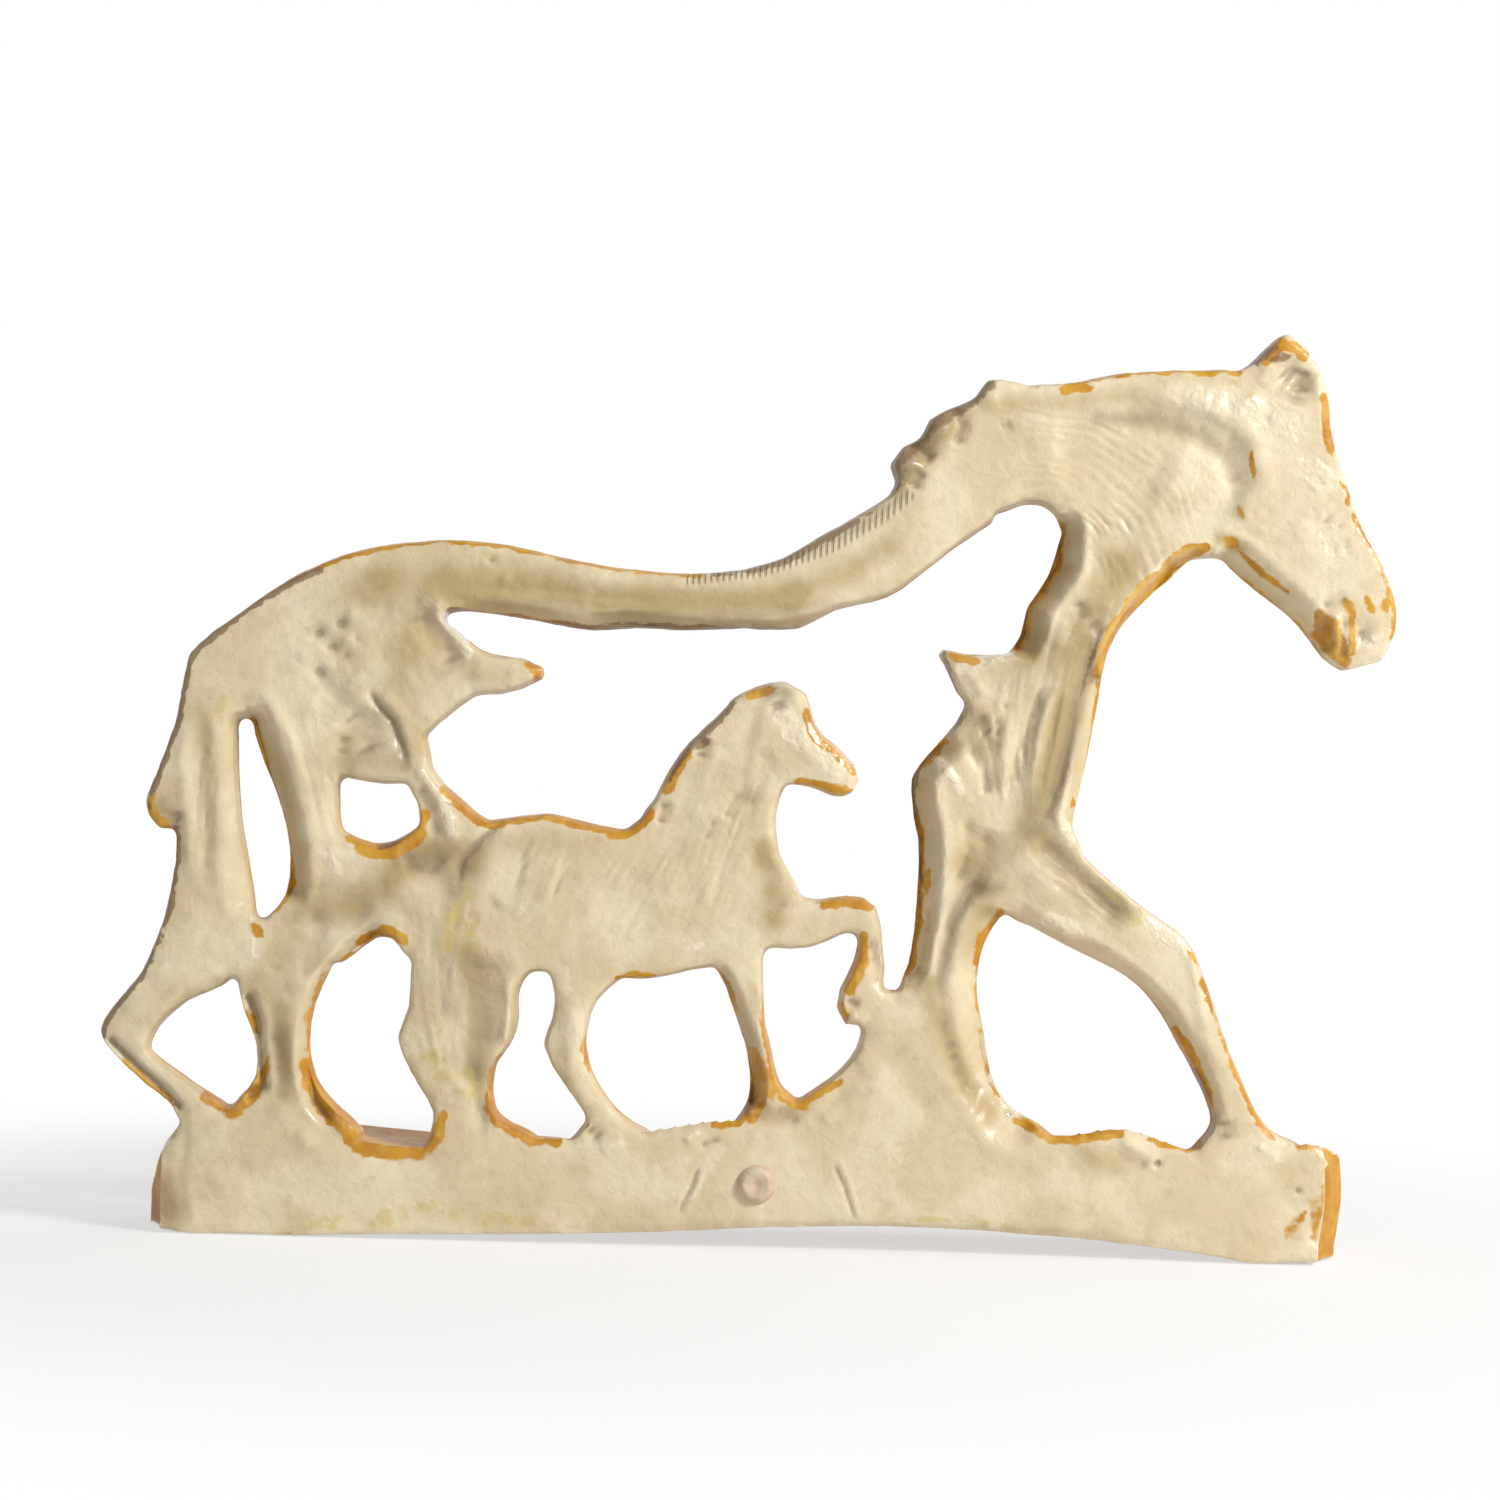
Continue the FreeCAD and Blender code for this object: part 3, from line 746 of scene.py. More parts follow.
FOAL_OCHRE: Washes = (
    ochre(1.3, 1, (505, 822), (550, 814), (600, 826), (640, 830)),
    ochre(2.2, 1, (612, 833), (640, 828), (650, 814)), ochre(2.3, 0.95, (668, 790), (676, 770), (686, 752)),
    brown(1.3, 0.8, (672, 782), (690, 748), (714, 722), (732, 704)),
    brown(2.4, 0.55, (700, 730), (704, 756)), brown(1.6, 0.4, (656, 808), (664, 826)),
    ochre(1.8, 1, (752, 696), (772, 692)), brown(1.4, 0.7, (778, 690), (782, 702)),
    ochre(1.9, 1, (806, 712), (818, 742), (842, 756), (854, 770)),
    ochre(1.8, 0.9, (800, 783), (830, 792), (852, 794)), ochre(1.8, 1, (826, 906), (850, 902), (876, 904)),
    ochre(2, 1, (866, 936), (860, 960), (850, 990)), brown(0.8, 0.4, (868, 934), (868, 952)),
    ochre(1.2, 1, (840, 1006), (844, 1020)),
    ochre(1.5, 1, (772, 1060), (782, 1094), (802, 1106), (842, 1084)),
    ochre(1.5, 1, (716, 974), (734, 1010)), ochre(3.2, 1, (752, 1056), (758, 1090), (752, 1118)),
    brown(1.4, 0.6, (752, 1090), (750, 1116)), ochre(0.9, 0.8, (766, 1004), (772, 1060)),
    ochre(1.3, 0.9, (618, 976), (652, 978)), ochre(1, 0.7, (585, 1040), (590, 1070)),
    ochre(2.2, 1, (494, 1072), (498, 1108), (520, 1130), (556, 1142)),
    ochre(1, 0.8, (506, 1056), (496, 1068)), brown(1.2, 0.6, (592, 1122), (596, 1132)),
)

FOAL_STAINS: Washes = (
    stain(3.6, 0.6, (446, 945), (456, 915), (468, 890)), stain(2.1, 0.48, (476, 915), (470, 935)),
    stain(5.5, 0.54, (432, 1060), (455, 1082), (478, 1090)), stain(2.6, 0.36, (430, 1000), (440, 1030)),
)

# Thin tan glaze with painted shade on the foal's shaded faces and hollows, and painted sheen on its head.
FOAL_TAN_AND_SHADE: Washes = (
    shade(4, 0.55, (455, 880), (445, 940), (450, 1010)), shade(3, 0.5, (490, 840), (466, 862), (460, 890)),
    tan(4.6, 1, (470, 955), (480, 1020), (478, 1075)),
    shade(4.6, 0.85, (476, 965), (481, 1020), (478, 1068)),
    tan(4.6, 0.9, (764, 850), (772, 885), (774, 920)), tan(3.4, 0.7, (740, 1108), (785, 1116), (802, 1104)),
    tan(5, 0.4, (484, 852), (530, 838), (590, 846)), shade(2.4, 0.5, (770, 690), (752, 740), (745, 800)),
    shade(5, 0.3, (720, 770), (680, 850)), shade(3.2, 0.45, (766, 856), (776, 905)),
    shade(2.4, 0.8, (768, 692), (790, 692)), tan(5, 0.35, (752, 800), (760, 850)),
    shade(3, 0.35, (744, 1112), (785, 1120)), shade(4, 0.3, (420, 860), (450, 885)),
    tan(5, 0.5, (470, 672), (500, 676)), gloss(5, 0.9, (786, 716), (812, 745), (838, 768)),
    shade(2, 0.5, (474, 1070), (486, 1130)), shade(2, 0.15, (560, 1000), (556, 1060)),
)

# Glossy spots, also painted lighter as sheen.
FOAL_GLINTS: Washes = (
    gloss(2, 1, (788, 735), (800, 745)), gloss(2.2, 0.45, (566, 970), (568, 990)),
    gloss(1.6, 0.9, (690, 950), (700, 945)),
)

FOAL_FACE: Forms = (
    dot(1.3, 0.7, 806, 726), soft(0.8, -0.5, (796, 722), (806, 717), (816, 724)),
    soft(0.8, -0.4, (797, 732), (808, 735), (817, 730)), dot(0.9, -0.8, 845, 770),
    sharp(0.8, -0.6, (826, 788), (838, 782), (850, 782)), soft(3.2, 0.8, (790, 738), (794, 750)),
    soft(1.2, -0.7, (812, 742), (806, 762), (790, 776)), sharp(0.9, -0.7, (768, 694), (764, 708)),
    soft(0.9, 0.5, (776, 692), (776, 706)),
)

FOAL_MANE: Forms = (
    *strands(0.8, -0.75, 11, (24, 22), (750, 706), (716, 736), (690, 772), (660, 818)),
)

FOAL_MUSCLES: Forms = (
    soft(9, 1.2, (560, 880), (620, 892), (690, 888)), soft(6, 1, (500, 890), (506, 930)),
    soft(1.8, -1, (536, 848), (544, 900), (526, 952)), soft(1.8, -0.9, (740, 836), (728, 880), (752, 930)),
    soft(4.5, 0.9, (752, 860), (760, 900)), soft(2.2, 0.5, (716, 770), (704, 820)),
    soft(1.2, -0.6, (790, 905), (820, 916)), dot(1.8, 0.6, 866, 908),
    sharp(0.8, -0.7, (842, 996), (864, 990)), dot(1.8, 0.6, 752, 1040),
    sharp(0.8, -0.7, (744, 1086), (770, 1088)), dot(1.9, 0.6, 562, 1042),
    sharp(0.8, -0.7, (570, 1100), (604, 1092)), sharp(0.8, -0.7, (474, 1096), (506, 1098)),
    soft(1.4, -0.7, (470, 960), (462, 1040), (452, 1090)), soft(1.2, 0.5, (446, 950), (440, 1040)),
    soft(1.3, -0.6, (430, 1010), (436, 1090)),
)


@dataclass
class Foal(Relief):
    """The foal, which stands and steps in the arch of the mare."""

    rear: Forms = (*FOAL_RUMP, *FOAL_CHEST, *FOAL_BARREL, *FOAL_LEGS)
    washes: Washes = (*FOAL_OCHRE, *FOAL_STAINS, *FOAL_TAN_AND_SHADE, *FOAL_GLINTS)
    front: Forms = (*FOAL_FACE, *FOAL_MANE, *FOAL_MUSCLES)
    front_washes: Washes = (
        shade(3.4, 0.7, (756, 702), (722, 736), (694, 774), (662, 818)),
        shade(2, 0.6, (840, 1000), (866, 1014)), shade(2.6, 0.6, (756, 1096), (756, 1112)),
        shade(2.4, 0.6, (590, 1108), (594, 1124)), shade(2.4, 0.6, (490, 1110), (490, 1126)),
        shade(2.6, 0.5, (450, 960), (446, 1060)),
    )
    nudges: tuple[Nudge, ...] = (
        nudge(660, 973, 8, 0, -0.5), nudge(838, 748, 5, 0.4, 0.4), nudge(776, 822, 6, 0.6, 0),
        nudge(806, 700, 4, 0.3, 0.3), nudge(505, 1040, 6, 0.5, 0), nudge(590, 1030, 6, 0.4, 0),
        nudge(748, 1030, 6, -0.5, 0), nudge(580, 1090, 5, -0.4, 0),
    )
    seeds: dict[str, Pair] = field(default_factory=lambda: {
        "foal_barrel": (400, 370), "foal_neck": (492, 490), "foal_head": (533, 549), "foal_mane": (452, 535),
        "foal_tail": (261, 230), "foal_far_hind_leg": (310, 220), "foal_near_hind_leg": (375, 210),
        "foal_standing_foreleg": (525, 230), "foal_raised_foreleg": (573, 337),
    })
    cuts: tuple[Path, ...] = (
        ((226, 336), (346, 286)), ((284, 318), (290, 118)), ((338, 285), (400, 281), (440, 274)),
        ((470, 288), (520, 323)), ((517, 316), (547, 388)), ((400, 451), (528, 423)),
        ((476, 598), (528, 492)), ((428, 440), (444, 484), (466, 535), (498, 578)),
    )


NECK_HOLLOW: Forms = (
    rings(5, 0.12, 2, (-20, 112), (1035, 580), (1078, 560), (1205, 500)),
    rings(5, 0.13, 2.5, (-40, 60), (1020, 610), (1090, 585), (1150, 520)),
    soft(13, -1.2, (1050, 460), (1110, 465), (1170, 490)),
    soft(4.4, -1.5, (1100, 416), (1150, 418), (1196, 432), (1226, 452), (1240, 482), (1236, 510)),
    soft(2.4, 0.8, (1130, 396), (1190, 402), (1236, 420), (1256, 446), (1262, 500)),
)

BRUSH_DRAGS: Forms = (
    streaks(4.5, 0.26, 0.9, (1080, 600), (1060, 650), (1048, 700)),
    streaks(9, 0.22, 0.8, (1040, 660), (1026, 740), (1020, 820)),
    streaks(6, 0.2, 0.8, (985, 690), (1000, 760), (1012, 820)),
    streaks(5, 0.18, 0.9, (1030, 850), (1080, 890), (1130, 930)),
    streaks(4, 0.18, 0.8, (985, 850), (960, 900), (935, 980)),
    grit(9, 0.24, 2.6, (330, 620), (340, 680), (365, 750)),
    grit(7, 0.14, 1.6, (400, 590), (400, 650), (440, 690)), grit(7, 0.16, 1.4, (1190, 402), (1280, 414)),
    grit(5, 0.18, 1.5, (1240, 515), (1310, 540)), grit(4.5, 0.26, 1.6, (1315, 460), (1350, 570)),
    grit(10, 0.1, 1.5, (1080, 440), (1180, 470), (1160, 520)), grit(3, 0.12, 1.7, (1335, 620), (1370, 640)),
    soft(0.9, -0.3, (1330, 612), (1327, 634), (1332, 656)), soft(0.8, -0.25, (1346, 618), (1344, 660)),
    soft(0.8, 0.5, (1338, 612), (1337, 656)), streaks(4, 0.22, 0.8, (215, 720), (205, 800), (205, 890)),
    streaks(5, 0.18, 1, (300, 700), (325, 800), (345, 880)),
    streaks(5, 0.14, 1.2, (460, 590), (600, 606), (760, 604), (880, 560)),
    streaks(8, 0.16, 1.2, (420, 900), (430, 1000), (450, 1090)),
    streaks(6, 0.16, 1.1, (250, 630), (330, 590), (420, 570)),
)

SHOULDER_WALLS: Forms = (
    wall(6.4, -6, (1212, 560), (1232, 572), (1262, 598), (1300, 634), (1318, 662)),
    wall(2.3, -5, (1206, 556), (1172, 568), (1142, 600), (1116, 644), (1102, 670)),
    wall(3.6, -5, (1100, 672), (1094, 730), (1086, 780), (1076, 832)),
    soft(1.3, 0.6, (1082, 690), (1076, 740), (1066, 785), (1058, 815), (1070, 842)),
    wall(4.5, -6.5, (1058, 514), (1063, 530), (1060, 562), (1044, 588), (1028, 606), (1026, 632),
        (1014, 656)),
    soft(1.3, 0.5, (1074, 505), (1086, 530), (1086, 562), (1074, 596)),
    wall(4.4, -6, (956, 734), (930, 755), (914, 776), (914, 802), (922, 832), (922, 880), (918, 930),
        (908, 966), (894, 988)),
    soft(1.9, 0.8, (942, 762), (938, 800), (944, 850), (942, 900)), soft(1.2, 0.6, (942, 764), (962, 792)),
    wall(6.6, -4.4, (1003, 910), (986, 950), (976, 985), (974, 1010), (980, 1050), (990, 1085), (1010, 1116),
        (1040, 1128)),
    soft(1.9, -1.6, (1000, 890), (968, 892), (950, 926), (940, 980), (944, 1030), (956, 1072), (978, 1104)),
    soft(1.4, -1, (930, 900), (928, 940), (916, 985)), soft(1.5, 0.6, (934, 930), (928, 970)),
)

SHOULDER_TENDONS: Forms = (
    soft(1.7, -1.1, (1044, 684), (1030, 720), (1020, 760), (1014, 800)),
    soft(1.5, -1, (1062, 684), (1052, 720), (1045, 760), (1038, 796)),
    soft(2.4, -2.2, (1096, 642), (1080, 690), (1070, 740), (1060, 782), (1046, 812), (1030, 826)),
    soft(3, -1.9, (1034, 826), (1050, 850), (1078, 876), (1108, 906), (1128, 930)),
    soft(3.4, -1.7, (990, 828), (980, 858), (968, 880), (985, 892)),
    soft(1.7, -1, (968, 742), (984, 772), (990, 800)), soft(1.5, -0.9, (966, 815), (968, 850), (958, 884)),
    soft(1.4, -0.7, (1008, 700), (996, 740)), soft(2.2, -1, (975, 718), (990, 734)),
    soft(1.2, 0.8, (1052, 690), (1041, 730), (1033, 782)),
    soft(1.5, 0.7, (1000, 690), (1006, 730), (1003, 792)),
    soft(3.2, 0.9, (1008, 848), (1034, 878), (1062, 906)),
    soft(1.3, 0.5, (1100, 870), (1130, 900), (1150, 920)), soft(1.5, -0.8, (1078, 600), (1084, 620)),
    soft(1.6, -0.9, (1090, 622), (1102, 636)), soft(1.4, 0.5, (1064, 616), (1056, 650)),
    soft(1.3, 0.6, (968, 668), (986, 700)), soft(1.6, 0.5, (985, 655), (1020, 655)),
)

FORELEG_OPENING: Forms = (
    wall(3.4, -2.6, (1005, 912), (1060, 945), (1100, 962), (1138, 988), (1166, 1015), (1192, 1060),
        (1208, 1105), (1212, 1130)),
    soft(1.4, 0.5, (1160, 925), (1190, 950), (1196, 985), (1210, 1040), (1232, 1092)),
)

TAIL_SLIT: Forms = (
    wall(5, -2.8, (238, 712), (240, 760), (242, 820), (246, 880), (252, 916)),
    wall(4.4, -5.6, (246, 708), (262, 758), (276, 810), (286, 856), (290, 884), (282, 905)),
    soft(1.8, 0.8, (262, 690), (292, 740), (304, 790), (314, 846), (312, 880)),
    soft(2.4, 0.7, (318, 770), (322, 826), (338, 868)), soft(2.6, -0.7, (205, 716), (208, 790), (214, 870)),
    soft(1.8, 0.5, (190, 700), (182, 760), (188, 830), (196, 900)), soft(2, -0.9, (172, 812), (178, 822)),
)

HAUNCH_PITS: Forms = (
    dot(1.5, -0.9, 340, 624), dot(1.3, -0.8, 318, 634), dot(1.7, -0.9, 331, 647), dot(1.2, 0.5, 352, 614),
    dot(1.7, -0.8, 319, 673), dot(3.2, -0.7, 332, 692), dot(1.6, 0.5, 346, 640), dot(1.5, -0.5, 345, 655),
    dot(1.5, 0.4, 305, 655),
)

STIFLE_FOLDS: Forms = (
    soft(4.2, -1.5, (345, 712), (362, 735), (372, 757)),
    sharp(1.8, -1.3, (366, 686), (380, 708), (392, 720), (401, 745), (407, 770)),
    soft(1.5, 0.6, (380, 690), (400, 715), (412, 745)), soft(1.7, -0.7, (345, 735), (340, 756)),
    soft(1.5, 0.9, (432, 598), (442, 620), (460, 642), (474, 656)), dot(2.4, 0.9, 430, 604),
    soft(3.6, -1.6, (414, 606), (428, 632), (446, 652), (456, 672)), soft(4, 0.4, (470, 672), (520, 672)),
    soft(1.5, 0.8, (416, 762), (432, 788), (448, 812)), dot(1.7, 0.9, 448, 820), dot(1.2, 0.5, 452, 834),
    soft(2, -0.9, (414, 784), (430, 812), (440, 842)), soft(3, -1, (398, 862), (428, 852), (444, 868)),
    soft(4, -1, (306, 884), (334, 904), (372, 914)), soft(3.4, 0.5, (380, 880), (420, 900), (440, 930)),
    soft(2.6, -1, (318, 905), (312, 945), (300, 985)), soft(2.2, 0.5, (300, 960), (292, 1020), (294, 1080)),
)

HOCK_OPENINGS: Forms = (
    wall(2.6, -1.8, (160, 1036), (186, 1004), (214, 986), (240, 986)),
    wall(2, -2.6, (246, 990), (256, 1022), (260, 1060), (262, 1086), (244, 1100)),
    soft(2.4, -0.8, (274, 1030), (280, 1070), (284, 1092)),
    wall(1.6, -1.8, (106, 1036), (140, 1070), (182, 1112)),
    soft(1.4, 0.5, (130, 1040), (150, 1050), (190, 1085)),
    wall(2.4, -3.4, (384, 926), (350, 950), (322, 984), (309, 1030), (306, 1070), (314, 1102), (332, 1126)),
    soft(4.5, 0.5, (150, 990), (180, 950), (200, 900)), soft(2.4, -0.6, (300, 930), (270, 975)),
)

BACK_UNDERSIDE: Forms = (
    wall(2.6, -3.2, (455, 608), (520, 616), (580, 628), (622, 622), (700, 629), (770, 632), (830, 622),
        (885, 603)),
    soft(2.2, -0.5, (470, 585), (560, 592), (650, 600), (760, 600)),
    soft(2, 0.4, (560, 575), (660, 585), (760, 582)), dot(1.2, 0.5, 505, 580), dot(1, -0.5, 491, 560),
)

MANE_LUMPS: Forms = (
    dot(3, 1.3, 938, 430), dot(2.7, 1.3, 905, 466), soft(1.5, -1.5, (906, 442), (922, 452), (934, 462)),
    soft(1.6, -1.2, (922, 470), (912, 490)), soft(1.7, -1.2, (948, 404), (962, 424), (956, 448)),
    dot(2.4, 0.9, 988, 398), soft(1.4, -0.5, (1000, 428), (1012, 424)),
)

HEAD_DENTS: Forms = (
    soft(2.4, -1.5, (1304, 368), (1299, 394)), soft(1.5, 0.5, (1268, 362), (1262, 385)),
    soft(1.6, 0.7, (1318, 372), (1322, 400)), soft(2.2, -0.9, (1280, 372), (1290, 382)),
    dot(3, 0.8, 1248, 405), soft(3, 0.5, (1180, 398), (1230, 402)), dot(2, -0.5, 1326, 628),
    dot(1.5, -0.4, 1342, 652), soft(1.3, 0.8, (1336, 610), (1330, 645)),
    soft(1.2, 0.6, (1352, 625), (1350, 655)), dot(1.5, -0.7, 1362, 635),
    soft(1.4, -0.6, (1320, 606), (1350, 600)), soft(4, 0.5, (1290, 520), (1330, 570)),
    soft(2.2, 0.5, (1370, 610), (1378, 645)),
)

CREST_OCHRE: Washes = (
    ochre(1, 1, (262, 602), (300, 576), (350, 556), (400, 547), (450, 542), (500, 544), (560, 553),
        (650, 571), (700, 574)),
    ochre(0.9, 0.8, (500, 617), (560, 626), (590, 628)), ochre(0.9, 0.7, (580, 610), (596, 614)),
    stain(1.3, 0.48, (420, 548), (470, 548), (500, 558)), ochre(1, 0.6, (690, 628), (710, 628)),
    ochre(1, 1, (1020, 390), (1060, 394), (1088, 388), (1130, 379), (1180, 376), (1242, 374)),
    ochre(2.4, 0.8, (1064, 392), (1090, 390)), stain(3.4, 0.48, (1232, 384), (1250, 394)),
    ochre(2.6, 1, (1204, 546), (1166, 562), (1132, 604), (1110, 646), (1100, 672)),
    stain(3.1, 0.48, (1088, 750), (1080, 800), (1072, 832)), ochre(1, 0.8, (1072, 798), (1068, 806)),
    brown(1.4, 0.6, (1096, 642), (1088, 660)), dab(Tint.OCHRE, 1.5, 1, (1226, 538), (1238, 546)),
    dab(Tint.OCHRE, 1.1, 0.6, (1240, 550), (1262, 572), (1290, 592)),
    tan(2.6, 0.8, (1222, 538), (1242, 548)), tan(5.6, 0.35, (1225, 566), (1262, 592), (1300, 628)),
)

FACE_OCHRE: Washes = (
    dab(Tint.OCHRE, 4.2, 1, (1320, 614), (1331, 638), (1346, 662)),
    dab(Tint.OCHRE, 1.8, 0.8, (1346, 600), (1354, 616)), dab(Tint.OCHRE, 1.5, 0.7, (1366, 597), (1373, 612)),
    dab(Tint.OCHRE, 1.3, 0.8, (1351, 612), (1353, 654)), dab(Tint.OCHRE, 1.2, 0.7, (1384, 600), (1387, 612)),
    gloss(3.4, 0.7, (1320, 616), (1336, 652)), ochre(1.9, 1, (1324, 398), (1328, 430), (1328, 456)),
    ochre(1.6, 1, (1338, 486), (1346, 504)),
    ochre(1.3, 1, (1350, 512), (1366, 558), (1386, 604), (1396, 640)),
    ochre(2.3, 0.9, (1268, 362), (1284, 348), (1304, 356)),
    brown(1, 0.7, (1254, 372), (1268, 356), (1278, 348)),
    dab(Tint.OCHRE, 0.9, 0.8, (1251, 452), (1254, 478)), dab(Tint.OCHRE, 1, 0.4, (1238, 505), (1244, 520)),
)

FORELEG_OCHRE: Washes = (
    ochre(1.6, 0.7, (954, 656), (978, 662)), brown(0.7, 0.5, (944, 652), (960, 694), (962, 724), (952, 742)),
    ochre(1.4, 0.8, (946, 742), (924, 764)), ochre(2, 1, (938, 866), (934, 900)),
    brown(0.6, 0.45, (938, 752), (918, 772), (914, 800), (922, 840), (922, 890), (916, 940)),
    ochre(1, 0.6, (922, 830), (922, 900), (912, 955)), ochre(1.9, 1, (1000, 912), (988, 940), (980, 962)),
    stain(2.1, 0.6, (1110, 892), (1136, 924)), ochre(1, 0.8, (1128, 906), (1136, 922)),
    ochre(1.1, 1, (1188, 948), (1200, 985), (1212, 1036), (1234, 1080), (1258, 1128), (1284, 1154)),
    ochre(0.9, 0.8, (1192, 1012), (1196, 1020), (1210, 1036)),
    ochre(1.3, 1, (1178, 1030), (1198, 1076), (1210, 1120)), brown(0.9, 0.6, (1196, 1072), (1208, 1112)),
)

HIND_LEG_OCHRE: Washes = (
    ochre(2, 1, (530, 664), (542, 670), (538, 678)),
    ochre(1.6, 0.9, (444, 790), (464, 808), (484, 830), (502, 824)),
    ochre(2.8, 1, (305, 1066), (316, 1102), (334, 1128), (366, 1144), (400, 1152), (440, 1134), (446, 1116)),
    ochre(2.2, 0.9, (358, 942), (384, 928), (404, 940)), brown(1, 0.5, (372, 932), (396, 930)),
    ochre(1.1, 0.9, (308, 1050), (316, 1000), (350, 956)),
    ochre(2.8, 1, (352, 838), (374, 854), (402, 848), (424, 816)), brown(0.9, 0.6, (376, 850), (410, 840)),
    dab(Tint.OCHRE, 1.9, 1, (254, 926), (262, 936)), ochre(1, 0.9, (270, 914), (286, 896)),
    ochre(2.6, 1, (206, 1098), (242, 1106), (264, 1090), (270, 1062)),
    ochre(1.6, 0.9, (246, 992), (256, 1030)), brown(1.2, 0.5, (258, 1020), (276, 1050), (280, 1092)),
    shade(2.4, 0.5, (276, 1030), (282, 1092)), ochre(2.2, 1, (154, 800), (160, 828), (172, 834)),
    ochre(1.2, 0.8, (126, 1060), (160, 1090), (176, 1108)), stain(3.1, 0.6, (224, 700), (216, 716)),
    stain(2.1, 0.42, (168, 920), (166, 944)),
)

# Dark brown rims, partly painted shade on the sides that face away from the key lamp.
BURNT_AND_SHADED_RIMS: Washes = (
    brown(1.7, 1, (188, 660), (204, 640), (240, 614), (276, 590), (318, 572)),
    brown(1.5, 1, (186, 664), (184, 700), (172, 744), (158, 784), (152, 806)),
    brown(1.5, 0.8, (178, 826), (180, 868), (176, 904), (162, 944), (140, 984), (112, 1014), (104, 1034)),
    brown(1.6, 0.55, (174, 810), (180, 822)), tan(3, 0.4, (272, 740), (292, 810), (300, 870)),
    brown(2.4, 0.8, (893, 486), (892, 464), (912, 440), (930, 418), (966, 402), (990, 384)),
    brown(2.2, 0.5, (936, 440), (950, 426)), brown(2.2, 0.5, (908, 470), (916, 484)),
    brown(1.4, 0.6, (716, 574), (790, 558), (850, 530), (896, 504)),
)
